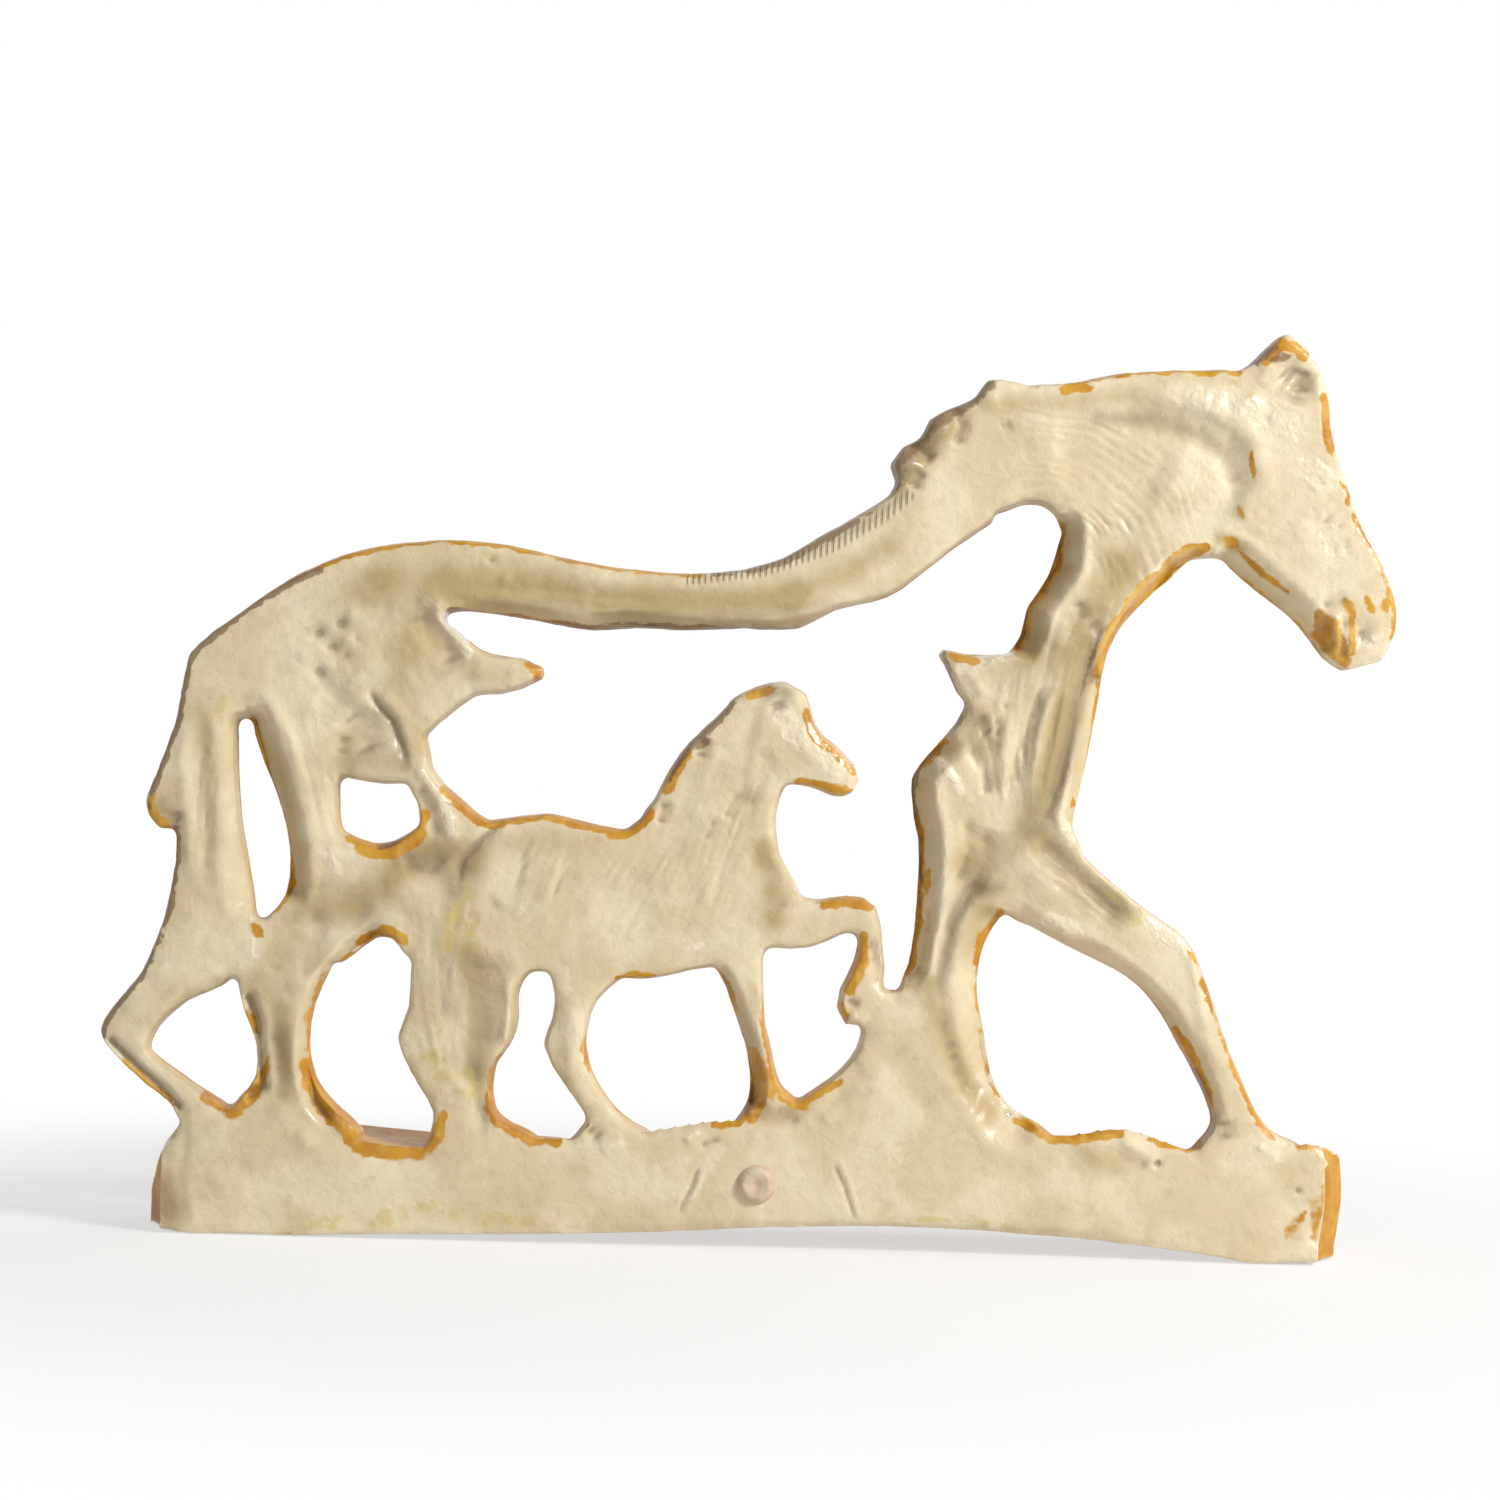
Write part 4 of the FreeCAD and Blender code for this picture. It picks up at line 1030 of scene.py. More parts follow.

# Thin tan glaze with painted shade on the mare's shaded faces and hollows, dark brown glaze with painted
# shade, and the comb's ribs.
THIN_TAN_AND_SHADE: Washes = (
    tan(4.6, 0.8, (1040, 512), (1062, 535), (1058, 572), (1036, 605), (1030, 650)),
    tan(2.6, 0.3, (918, 780), (922, 860), (912, 950)), tan(3.8, 0.5, (258, 752), (276, 820), (288, 880)),
    tan(3, 0.5, (460, 620), (580, 632), (700, 632), (860, 618)),
    shade(3.4, 0.75, (1100, 418), (1150, 420), (1200, 434), (1228, 454), (1242, 486), (1238, 512)),
    shade(3.4, 0.7, (1296, 362), (1298, 398)), dab(Tint.BROWN, 1.8, 0.55, (1272, 360), (1290, 356)),
    shade(2.6, 0.45, (1104, 612), (1092, 640)),
    shade(2.4, 1, (1097, 640), (1083, 690), (1071, 740), (1061, 780)),
    dab(Tint.BROWN, 1, 0.55, (1098, 640), (1088, 672), (1080, 700)),
    shade(1.6, 0.4, (1050, 690), (1036, 740)), shade(2.4, 0.6, (975, 712), (996, 745)),
    shade(6, 0.45, (1030, 800), (1020, 850), (1060, 880), (1110, 915)),
    shade(2.6, 0.7, (1000, 888), (968, 892), (950, 930), (940, 990)),
    shade(2.6, 0.5, (1050, 850), (1090, 888), (1120, 912)),
    shade(7, 0.2, (330, 625), (345, 690), (360, 745)), shade(2.6, 0.35, (318, 632), (342, 622)),
    shade(2.8, 0.35, (318, 672), (350, 700), (375, 715)),
    shade(2.2, 0.7, (380, 712), (396, 735), (405, 768)),
    shade(4.4, 0.25, (396, 612), (420, 644), (444, 666)), shade(4, 0.4, (400, 760), (350, 760)),
    shade(3.2, 0.6, (405, 860), (440, 866)), shade(2, 0.6, (172, 812), (180, 824)),
    shade(2.8, 0.35, (205, 720), (208, 800), (212, 880)),
    tan(7, 1, (440, 590), (520, 594), (620, 602), (720, 604), (790, 598)),
    tan(4.6, 0.6, (790, 598), (850, 572), (890, 545)), tan(6, 0.5, (380, 572), (470, 566), (560, 576)),
    shade(2.4, 0.3, (500, 600), (620, 612), (740, 616), (830, 604)), tan(5, 0.9, (900, 484), (945, 434)),
    shade(3.4, 0.6, (898, 484), (914, 470)), shade(3.4, 0.6, (936, 444), (950, 428)),
    tan(4, 0.55, (990, 402), (1060, 404), (1130, 394)), tan(8, 0.3, (1010, 430), (1050, 480)),
    tan(7.5, 1, (1118, 575), (1086, 620), (1076, 680), (1060, 740), (1040, 800), (1032, 830)),
    shade(5, 0.4, (1082, 612), (1082, 680), (1060, 740), (1042, 800), (1030, 830)),
    tan(7, 0.6, (1012, 662), (1050, 648)), tan(6, 0.5, (1100, 545), (1130, 560)),
    tan(6, 0.7, (974, 722), (988, 742)), tan(8, 0.7, (968, 860), (985, 895), (975, 945)),
    tan(5, 0.8, (1040, 850), (1080, 885), (1112, 915)),
    tan(4.6, 1, (928, 985), (945, 1040), (965, 1085), (990, 1112)),
    shade(3, 0.45, (930, 985), (948, 1040), (970, 1085)), tan(7, 1, (402, 862), (440, 850), (468, 862)),
    shade(4, 0.4, (410, 862), (450, 858), (470, 850)), tan(7.5, 1, (308, 905), (350, 905), (384, 890)),
    shade(4.6, 0.45, (312, 912), (345, 922), (370, 916)), shade(4, 0.4, (300, 945), (296, 985)),
    shade(4, 0.45, (978, 720), (972, 735)), shade(5, 0.45, (985, 850), (980, 880), (958, 905)),
    shade(5, 0.35, (1056, 640), (1060, 670)), shade(4, 0.35, (1045, 830), (1060, 850)),
    shade(3, 0.5, (1214, 1120), (1222, 1136)), tan(5, 0.6, (1090, 1158), (1125, 1168)),
    tan(5, 0.6, (288, 925), (272, 965)), tan(4, 1, (282, 1015), (284, 1060), (287, 1095)),
    shade(3, 0.45, (282, 1030), (286, 1085)), tan(3.5, 0.6, (258, 982), (274, 1002)),
    tan(8, 0.6, (362, 590), (410, 604), (432, 652)), tan(6.5, 0.65, (402, 640), (396, 700), (420, 742)),
    tan(4, 0.7, (346, 738), (346, 772)), tan(8, 0.3, (330, 602), (390, 580)),
    shade(2.6, 0.5, (160, 802), (172, 830)), tan(4.4, 0.6, (166, 800), (178, 850)),
    tan(5, 0.5, (200, 715), (208, 780), (212, 835)), tan(4, 0.4, (452, 880), (462, 930), (470, 970)),
    tan(3.6, 0.9, (902, 470), (918, 448), (938, 428), (950, 416)),
    shade(2.6, 0.7, (902, 478), (918, 450), (944, 420)), shade(1.6, 0.5, (800, 556), (860, 526), (905, 494)),
    dab(Tint.COMB, 1.9, 1.6, (690, 579), (760, 571), (826, 549), (880, 518), (908, 496)),
    brown(1, 0.7, (450, 610), (500, 618), (580, 630), (650, 626), (740, 634), (800, 632), (860, 616)),
    shade(8, 0.3, (960, 650), (1030, 690)),
)

# Glossy spots, also painted lighter as sheen.
GLINTS: Washes = (
    gloss(6, 0.65, (1180, 395), (1240, 405), (1290, 420)),
    gloss(14, 0.5, (1285, 440), (1310, 520), (1340, 580)), gloss(4, 0.9, (1310, 470), (1330, 480)),
    gloss(3, 1, (1340, 640), (1370, 640)), gloss(2, 1, (940, 762), (962, 790)),
    gloss(3, 1, (1050, 920), (1075, 930)), gloss(2.6, 1, (1150, 925), (1185, 950)),
    gloss(2.4, 1, (325, 850), (340, 872)), gloss(2.4, 1, (446, 810), (452, 834)),
    gloss(2, 1, (430, 600), (470, 655)), gloss(1.8, 1, (252, 940), (256, 956)),
    gloss(3, 1, (984, 1080), (1010, 1112)), gloss(1.6, 1, (1058, 812), (1072, 842)),
    gloss(2.6, 0.9, (962, 668), (1010, 656)),
)

FACE: Forms = (
    dot(2, 1, 1306, 446), soft(1, -0.7, (1289, 442), (1304, 433), (1322, 443)),
    soft(0.9, -0.6, (1290, 456), (1307, 462), (1322, 455)),
    soft(1.3, 0.5, (1286, 434), (1304, 424), (1324, 434)), soft(8, 1.3, (1250, 488), (1260, 520)),
    soft(1.7, -0.9, (1286, 474), (1298, 515), (1280, 562)),
    soft(3, 0.7, (1330, 440), (1350, 520), (1372, 590)),
    soft(1.6, -0.7, (1312, 480), (1330, 545), (1344, 592)), dot(1.4, -1.3, 1372, 617),
    soft(1, 0.6, (1358, 608), (1374, 601), (1387, 614)),
    sharp(1.1, -1, (1330, 656), (1352, 642), (1380, 640)), dot(2.2, 0.5, 1344, 630),
)

EARS_AND_MANE: Forms = (
    sharp(1.2, -1.1, (1284, 350), (1278, 366), (1276, 382)),
    soft(1.3, 0.7, (1294, 352), (1300, 372), (1300, 390)), soft(1.2, 0.5, (1266, 366), (1262, 384)),
    soft(2.6, -1.4, (1242, 392), (1234, 440), (1226, 490), (1216, 536)),
    *strands(0.9, -0.8, 5, (14, 30), (1286, 392), (1326, 402)),
    *strands(1, -0.95, 15, (30, 62), (905, 470), (940, 424), (990, 396), (1060, 394), (1150, 386),
        (1226, 384)),
    *strands(1, 0.6, 14, (34, 46), (920, 462), (985, 404), (1060, 402), (1210, 390)),
)

FORE_MUSCLES: Forms = (
    soft(5, 1.2, (1090, 560), (1060, 640), (1044, 720)),
    soft(2.2, -1.1, (1110, 590), (1084, 660), (1068, 740), (1066, 790)),
    soft(3, 0.8, (1120, 560), (1180, 520)), soft(1.9, -1, (1016, 690), (1002, 755), (1014, 822)),
    soft(5.5, 1.1, (1002, 838), (1060, 880), (1120, 916)),
    soft(2, -1.1, (980, 846), (1006, 880), (1036, 896)),
    soft(2, -0.9, (1060, 812), (1090, 860), (1130, 890)), soft(3, 0.9, (940, 790), (936, 850), (940, 900)),
    dot(2.8, 0.8, 930, 930), dot(2.8, 0.8, 1190, 972),
    soft(1.4, -0.7, (1160, 950), (1186, 1000), (1212, 1060)),
    sharp(1.1, -0.9, (1212, 1112), (1238, 1100), (1262, 1112)),
    sharp(1.1, -0.9, (912, 1066), (944, 1058), (980, 1072)),
    soft(1.4, -0.7, (950, 960), (952, 1010), (962, 1050)), soft(1.6, 0.6, (1176, 1000), (1204, 1060)),
)

HAUNCH_MUSCLES: Forms = (
    soft(10, 1.3, (296, 660), (304, 710)), soft(2, -1.2, (352, 640), (362, 700), (344, 766)),
    soft(2, -1, (268, 690), (290, 780), (302, 868)), soft(5, 1, (390, 730), (400, 772)),
    soft(4, 0.9, (332, 880), (320, 930)), dot(4.2, 0.9, 300, 604),
    soft(2, -0.7, (330, 600), (380, 620), (420, 660)),
    soft(1.6, -0.6, (300, 588), (420, 558), (560, 570), (700, 590), (820, 568)),
    soft(3, 0.7, (480, 592), (620, 606), (800, 600)),
)

TAIL_HAIR: Forms = (
    sharp(1.2, -0.9, (202, 658), (182, 730), (168, 800)),
    sharp(1.1, -0.8, (214, 680), (200, 750), (190, 838)),
    sharp(1.1, -0.7, (226, 700), (224, 780), (216, 880)), soft(1.2, 0.7, (192, 668), (172, 745), (158, 800)),
    soft(1.2, 0.6, (208, 668), (190, 745), (178, 826)), soft(1.2, 0.6, (220, 690), (212, 770), (202, 860)),
)

HIND_HOOVES: Forms = (
    dot(2.6, 0.9, 122, 1030), dot(2.6, 0.8, 288, 1000), sharp(1.1, -0.9, (168, 1094), (190, 1080)),
    sharp(1.1, -0.9, (246, 1092), (300, 1092)), soft(1.4, -0.8, (140, 1000), (170, 960), (196, 900)),
    soft(1.6, -0.7, (278, 1010), (276, 1070)), soft(2.4, 0.6, (470, 672), (520, 672)),
    soft(2, -0.8, (420, 690), (436, 730), (430, 780)), soft(3, 0.7, (985, 670), (1020, 664)),
)


@dataclass
class Mare(Relief):
    """The striding mare, and the webs that tie the foal to her."""

    rear: Forms = (
        *NECK_HOLLOW, *BRUSH_DRAGS, *SHOULDER_WALLS, *SHOULDER_TENDONS, *FORELEG_OPENING, *TAIL_SLIT,
        *HAUNCH_PITS, *STIFLE_FOLDS, *HOCK_OPENINGS, *BACK_UNDERSIDE, *MANE_LUMPS, *HEAD_DENTS,
    )
    washes: Washes = (
        *CREST_OCHRE, *FACE_OCHRE, *FORELEG_OCHRE, *HIND_LEG_OCHRE, *BURNT_AND_SHADED_RIMS, *THIN_TAN_AND_SHADE, *GLINTS,
    )
    front: Forms = (*FACE, *EARS_AND_MANE, *FORE_MUSCLES, *HAUNCH_MUSCLES, *TAIL_HAIR, *HIND_HOOVES)
    front_washes: Washes = (
        shade(7, 0.6, (918, 462), (960, 430), (1060, 412), (1150, 404), (1226, 400)),
        shade(6, 0.6, (210, 680), (184, 750), (166, 810)), shade(3.4, 0.5, (222, 740), (212, 880)),
        shade(3, 0.7, (1236, 1122), (1256, 1134)), shade(3, 0.7, (936, 1086), (960, 1096)),
        shade(3, 0.7, (172, 1100), (190, 1104)), shade(3.4, 0.7, (262, 1106), (290, 1108)),
        shade(2, 0.8, (1296, 448), (1316, 446)), shade(3, 0.5, (1356, 650), (1378, 630)),
        shade(3, 0.4, (1280, 360), (1290, 380)),
    )
    nudges: tuple[Nudge, ...] = (
        nudge(220, 984, 5, 0, -0.6), nudge(172, 1080, 5, 0.3, 0.6), nudge(1112, 690, 9, 0.8, 0),
        nudge(1165, 592, 8, 0.5, -0.6), nudge(1362, 520, 9, -0.9, -0.2), nudge(1010, 514, 5, 0, -0.6),
        nudge(958, 556, 6, 0, 0.5), nudge(978, 1010, 9, 0.8, 0), nudge(1172, 1045, 8, -0.7, -0.3),
        nudge(944, 656, 3, -0.4, 0.2), nudge(1325, 400, 6, -0.4, 0), nudge(545, 672, 3, 0.5, 0),
        nudge(1345, 664, 5, 0, -0.5), nudge(246, 720, 3, 0, 0.4),
    )
    seeds: dict[str, Pair] = field(default_factory=lambda: {
        "mare_hindquarters": (178, 619), "mare_back": (368, 703), "mare_withers": (585, 751),
        "mare_shoulder": (718, 570), "mare_neck": (761, 850), "mare_head": (925, 799),
        "mare_ears": (908, 972), "mare_mane": (700, 928), "mare_tail": (45, 491),
        "mare_flank_spur": (283, 610), "mare_elbow_spur": (667, 632), "mare_near_hind_leg": (150, 330),
        "mare_trailing_hind_leg": (60, 350), "mare_straight_foreleg": (668, 260),
        "mare_stepping_foreleg": (814, 304), "thigh_bridge": (214, 375), "flank_strand": (260, 467),
    })
    cuts: tuple[Path, ...] = (
        ((252, 778), (257, 665)), ((266, 674), (256, 667), (251, 545), (258, 525)),
        ((36, 604), (106, 532), (194, 466)), ((60, 606), (50, 418)), ((138, 376), (93, 236)),
        ((190, 452), (196, 298)), ((238, 452), (232, 296)), ((224, 477), (264, 499)),
        ((230, 439), (304, 457)), ((626, 419), (708, 361)), ((700, 357), (763, 445)),
        ((694, 668), (656, 590)), ((730, 801), (852, 751)), ((871, 967), (857, 750)),
        ((871, 967), (950, 950)), ((490, 740), (496, 658)), ((596, 847), (708, 799)),
        ((590, 838), (626, 862), (664, 900), (700, 916), (764, 932), (878, 944)),
    )


@dataclass
class Casting:
    """The one glazed casting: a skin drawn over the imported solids, worked, and sawn into its parts.

    Sizes are in millimetres. A band holds where an effect starts and where it is whole.
    """

    parts: tuple[Relief, ...] = field(default_factory=lambda: (Base(), Mare(), Foal()))
    voxel: float = 0.5
    web: float = 0.9
    web_left: float = 0.15
    first_rounds: int = 4
    last_rounds: int = 34
    face_rounds: int = 3
    rim_rounds: int = 8
    saw: float = 0.002
    saw_depth: float = 60.0
    saw_overrun: float = 0.2
    crumb: int = 120
    roll: float = 2.6
    roll_fullness: float = 0.86
    dish: float = 0.8
    dish_reach: float = 3.6
    foot_share: float = 0.35
    proudest: float = -1.5
    deepest: float = 9.0
    front_rim: float = -0.4
    front_rim_reach: float = 2.0
    tooth: float = 0.06
    tooth_grain: float = 2.0
    rear_swells: tuple[Swell, ...] = (Swell(0.30, 12.0, 3), Swell(0.11, 3.4, 9, 3))
    front_swells: tuple[Swell, ...] = (Swell(0.3, 11.0, 41), Swell(0.08, 3.0, 47))
    side_swell: Swell = Swell(0.24, 8.0, 81)
    edge_band: Pair = (0.35, 1.3)
    rear_band: Pair = (0.0, 1.5)
    foot_band: Pair = (1.0, 5.0)
    rim_reach: float = 1.7
    mound_top: float = 26.0
    gap: float = 0.02
    thinned: float = 0.55
    skin: Thing | None = None
    points: Array = field(default_factory=lambda: np.zeros((0, 3)))
    normals: Array = field(default_factory=lambda: np.zeros((0, 3)))
    edge: Array = field(default_factory=lambda: np.zeros(0))
    masks: dict[Tint, Array] = field(default_factory=dict)

    def build(self, finish: Material) -> list[Thing]:
        """Make every part of the casting.

        Args:
            finish: The glaze.

        Returns:
            The finished parts.
        """
        self.cover()
        self.work_faces()
        self.tint()
        self.store()
        return self.sever(finish)

    def cover(self) -> None:
        """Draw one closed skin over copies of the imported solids, with their crotches webbed."""
        copies = []
        for name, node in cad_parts.items():
            if name == NUB:
                continue
            copy = bpy.data.objects.new("skin_of_" + name, node.data.copy())
            bpy.context.scene.collection.objects.link(copy)
            pick(copy)
            bpy.ops.object.mode_set(mode="EDIT")
            bpy.ops.mesh.select_all(action="SELECT")
            bpy.ops.mesh.remove_doubles(threshold=2e-6)
            bpy.ops.mesh.normals_make_consistent(inside=False)
            bpy.ops.object.mode_set(mode="OBJECT")
            mesh = copy.data
            write_points(mesh, read_points(mesh) + self.web * read_normals(mesh))
            copies.append(copy)
        pick(*copies)
        bpy.ops.object.join()
        self.skin = bpy.context.view_layer.objects.active
        self.skin.name = "skin"
        self.remesh()
        mesh = self.skin.data
        write_points(mesh, smooth(read_points(mesh), read_edges(mesh), self.first_rounds))
        write_points(mesh, read_points(mesh) - (self.web - self.web_left) * read_normals(mesh))
        self.remesh()
        mesh = self.skin.data
        write_points(mesh, smooth(read_points(mesh), read_edges(mesh), self.last_rounds))
        LOG.info("skin: %d vertices", len(mesh.vertices))

    def remesh(self) -> None:
        """Draw the skin afresh with even faces."""
        apply_modifier(self.skin, "REMESH", mode="VOXEL", voxel_size=self.voxel * MM, use_smooth_shade=True)

    def edge_distance(self) -> Array:
        """Distance of every vertex from the silhouette's edge, in millimetres, seen square on."""
        cell, margin, reach = 0.4, 40, 26
        column = np.round((self.points[:, 0] - LEFT) / cell).astype(int) + margin
        row = np.round(self.points[:, 2] / cell).astype(int) + margin
        solid = np.zeros((int(LENGTH / cell) + 2 * margin, int(HEIGHT / cell) + 2 * margin), bool)
        solid[column, row] = True
        solid[1:, :] |= solid[:-1, :]
        solid[:, 1:] |= solid[:, :-1]
        solid[:-1, :] &= solid[1:, :]
        solid[:, :-1] &= solid[:, 1:]
        run = np.where(solid, float(reach), 0.0)
        for step in range(1, reach):
            near = np.minimum(np.roll(run, step, axis=1), np.roll(run, -step, axis=1))
            run = np.minimum(run, np.where(near <= 0, float(step), float(reach)))
        best = run**2
        for step in range(1, reach):
            for way in (step, -step):
                best = np.minimum(best, np.roll(run, way, axis=0) ** 2 + step**2)
        far = blurred(np.sqrt(np.minimum(best, float(reach**2))) * cell, 1)
        return far[column, row]

    def rear_depth(self, spots: Array) -> Array:
        """How deep the rear face lies at every spot.

        Args:
            spots: X and Z of each vertex, in millimetres.

        Returns:
            Depths in from the rear plane, in millimetres.
        """
        roll = np.clip(1.0 - self.edge / self.roll, 0.0, 1.0)
        depth = self.roll * (1.0 - np.sqrt(1.0 - self.roll_fullness * roll**2))
        depth += self.dish * np.exp(-self.edge / self.dish_reach)
        depth *= self.foot_share + (1.0 - self.foot_share) * ease(self.points[:, 2], *self.foot_band)
        flat = np.column_stack([spots, np.zeros(len(spots))])
        depth -= sum(swell.at(flat) for swell in self.rear_swells)
        for part in self.parts:
            for form in part.rear:
                near = form.near(spots)
                depth[near] -= form.relief(spots[near])
        return np.clip(depth, self.proudest, self.deepest)

    def front_height(self, spots: Array) -> Array:
        """How far the front stands out at every spot.

        Args:
            spots: X and Z of each vertex, in millimetres.

        Returns:
            Heights over the smooth skin, in millimetres.
        """
        front = self.front_rim * np.clip(1.0 - self.edge / self.front_rim_reach, 0.0, 1.0)
        front += sum(swell.at(self.points) for swell in self.front_swells)
        for part in self.parts:
            for form in part.front:
                near = form.near(spots)
                front[near] += form.relief(spots[near])
        return front

    def work_faces(self) -> None:
        """Work the forms of the rear and front faces into the skin."""
        mesh = self.skin.data
        self.points = points = read_points(mesh)
        self.normals = normals = read_normals(mesh)
        self.edge = edge = self.edge_distance()
        spots, deep, up = points[:, [0, 2]], points[:, 1], points[:, 2]
        inner = ease(edge, *self.edge_band)
        rear = ease(WAIST + 0.5 - deep, *self.rear_band)
        before = ease(normals[:, 1], 0.05, 0.5) * ease(deep - WAIST, 0.0, 2.0) * ease(up, 0.5, 4.0)
        target = REAR + self.rear_depth(spots)
        moved = points.copy()
        moved[:, 1] += rear * inner * (target - deep) + before * self.front_height(spots)
        moved[:, 1] += (1.0 - inner) * rear * np.maximum(target - deep, 0.0)
        tooth = self.tooth * lattice_noise(points, self.tooth_grain, 17)
        moved += normals * (tooth * ease(up, 0.5, 3.0))[:, None]
        lean = ease(1.0 - np.abs(normals[:, 1]), 0.1, 0.6) * ease(up, *self.foot_band)
        moved += normals * (self.side_swell.at(points) * lean)[:, None]
        for part in self.parts:
            for push in part.nudges:
                moved[:, [0, 2]] += push.move(spots) * ease(up, 1.0, 6.0)[:, None]
        edges = read_edges(mesh)
        moved = smooth(moved, edges, self.face_rounds)
        thin = np.maximum(ease(WAIST + 1.0 - deep, 0.0, 2.0), ease(self.mound_top - up, 0.0, 4.0))
        rim = ease(self.rim_reach - edge, 0.0, 0.8) * thin
        moved += rim[:, None] * (smooth(moved, edges, self.rim_rounds) - moved)
        low = np.array([LEFT + self.gap, REARMOST + 0.3, 0.03])
        high = np.array([LEFT + LENGTH, FRONT, HEIGHT]) - self.gap
        self.points = np.clip(moved, low, high)
        write_points(mesh, self.points)
        self.normals = read_normals(mesh)

    def bend(self) -> Array:
        """How the skin bends at every vertex, above zero in a hollow and below zero on a crest."""
        edges = read_edges(self.skin.data)
        away = neighbour_mean(self.points, edges) - self.points
        bend = np.einsum("ij,ij->i", away, self.normals)[:, None]
        for _ in range(3):
            bend = 0.5 * bend + 0.5 * neighbour_mean(bend, edges)
        return bend[:, 0]

    def tint(self) -> None:
        """Work out where each glaze lies, and where shade and sheen are painted."""
        points, normals = self.points, self.normals
        spots, deep = points[:, [0, 2]], points[:, 1]
        bend = self.bend()
        patchy = layered_noise(points, 14.0, 21, 3)
        fine = layered_noise(points, 3.0, 27, 2)
        line = WAIST - 1.4 + 1.6 * patchy + 0.8 * fine
        behind = ease(WAIST + 1.0 - deep, 0.0, 1.0)
        # Crests get a painted highlight.
        crest = ease(-bend, 0.01, 0.06)
        # Sides that face away from the key lamp get painted shade in brown.
        left_side_shade = ease(-normals[:, 0], 0.35, 0.85) * ease(deep - WAIST, -3.0, 1.0)
        # Sloping walls behind the waist get tan: thin glaze and painted shade.
        slope = ease(normals[:, 1], -0.86, -0.25) * ease(deep - REAR, 0.8, 2.4) * behind
        self.masks = laid_by = {
            Tint.OCHRE: ease(deep - line, -0.8, 0.9),
            Tint.BROWN: 0.6 * left_side_shade * behind,
            Tint.STAIN: np.zeros(len(points)),
            Tint.GLOSS: 0.35 + 0.25 * patchy,
            # Hollows get painted shade.
            Tint.RECESS: ease(bend, 0.006, 0.05),
            Tint.CREST: crest,
            Tint.COMB: np.zeros(len(points)),
            Tint.TAN: np.clip(slope * (0.35 + 0.3 * patchy), 0.0, 1.0),
        }
        for part in self.parts:
            for face, washes in ((behind, part.washes), (1.0 - behind, part.front_washes)):
                for stroke in washes:
                    self.brush(stroke, spots, face, patchy, fine)
        # Crests are glossier, and also painted lighter as sheen.
        laid_by[Tint.GLOSS] = np.clip(laid_by[Tint.GLOSS] + 0.5 * crest, 0.0, 1.0)

    def brush(self, stroke: Wash, spots: Array, face: Array, patchy: Array, fine: Array) -> None:
        """Lay one stroke of glaze on its mask.

        Args:
            stroke: The stroke.
            spots: X and Z of each vertex, in millimetres.
            face: How much each vertex belongs to the face that the stroke lies on.
            patchy: Broad unevenness of the glaze.
            fine: Fine unevenness of the glaze.
        """
        near, strength = stroke.reach(spots)
        broad, small = patchy[near], fine[near]
        target = self.masks[stroke.tint]
        if stroke.tint.cloudy:
            strength = strength * (1.0 + 0.35 * broad + 0.25 * small)
            target[near] = np.clip(target[near] + strength * face[near], 0.0, 1.0)
            return
        if stroke.hugs_edge:
            width = stroke.width * 1.2 + 0.8 + 0.8 * small + 0.6 * broad
            strength = strength * ease(width - self.edge[near], -0.1, 1.1)
        laid = np.clip(strength * (1.6 + 0.6 * broad + 0.8 * small), 0.0, 1.0)
        target[near] = np.maximum(target[near], laid * face[near])

    def store(self) -> None:
        """Keep the masks on the skin as attributes."""
        mesh = self.skin.data
        for tint, values in self.masks.items():
            layer = mesh.attributes.new(tint.value, "FLOAT", "POINT")
            layer.data.foreach_set("value", values.astype(np.float32))
        layer = mesh.attributes.new("skin_normal", "FLOAT_VECTOR", "POINT")
        layer.data.foreach_set("vector", self.normals.astype(np.float32).ravel())

    def blade(self, start: Array, end: Array) -> Thing:
        """Make one thin saw blade that stands across the casting's depth.

        Args:
            start: X and Z of one end in millimetres.
            end: X and Z of the other end.

        Returns:
            The blade.
        """
        along = end - start
        length = float(np.linalg.norm(along))
        middle = (start + end) / 2
        deselect()
        bpy.ops.mesh.primitive_cube_add(size=1.0, location=(0.0, 0.0, 0.0))
        blade = bpy.context.active_object
        sides = [side * MM for side in (length + self.saw_overrun, self.saw_depth, self.saw)]
        place_in_mesh(
            blade,
            Matrix.Translation(Vector((middle[0], 0.0, middle[1])) * MM)
            @ Matrix.Rotation(-math.atan2(along[1], along[0]), 4, "Y")
            @ Matrix.Diagonal((*sides, 1.0)),
        )
        return blade

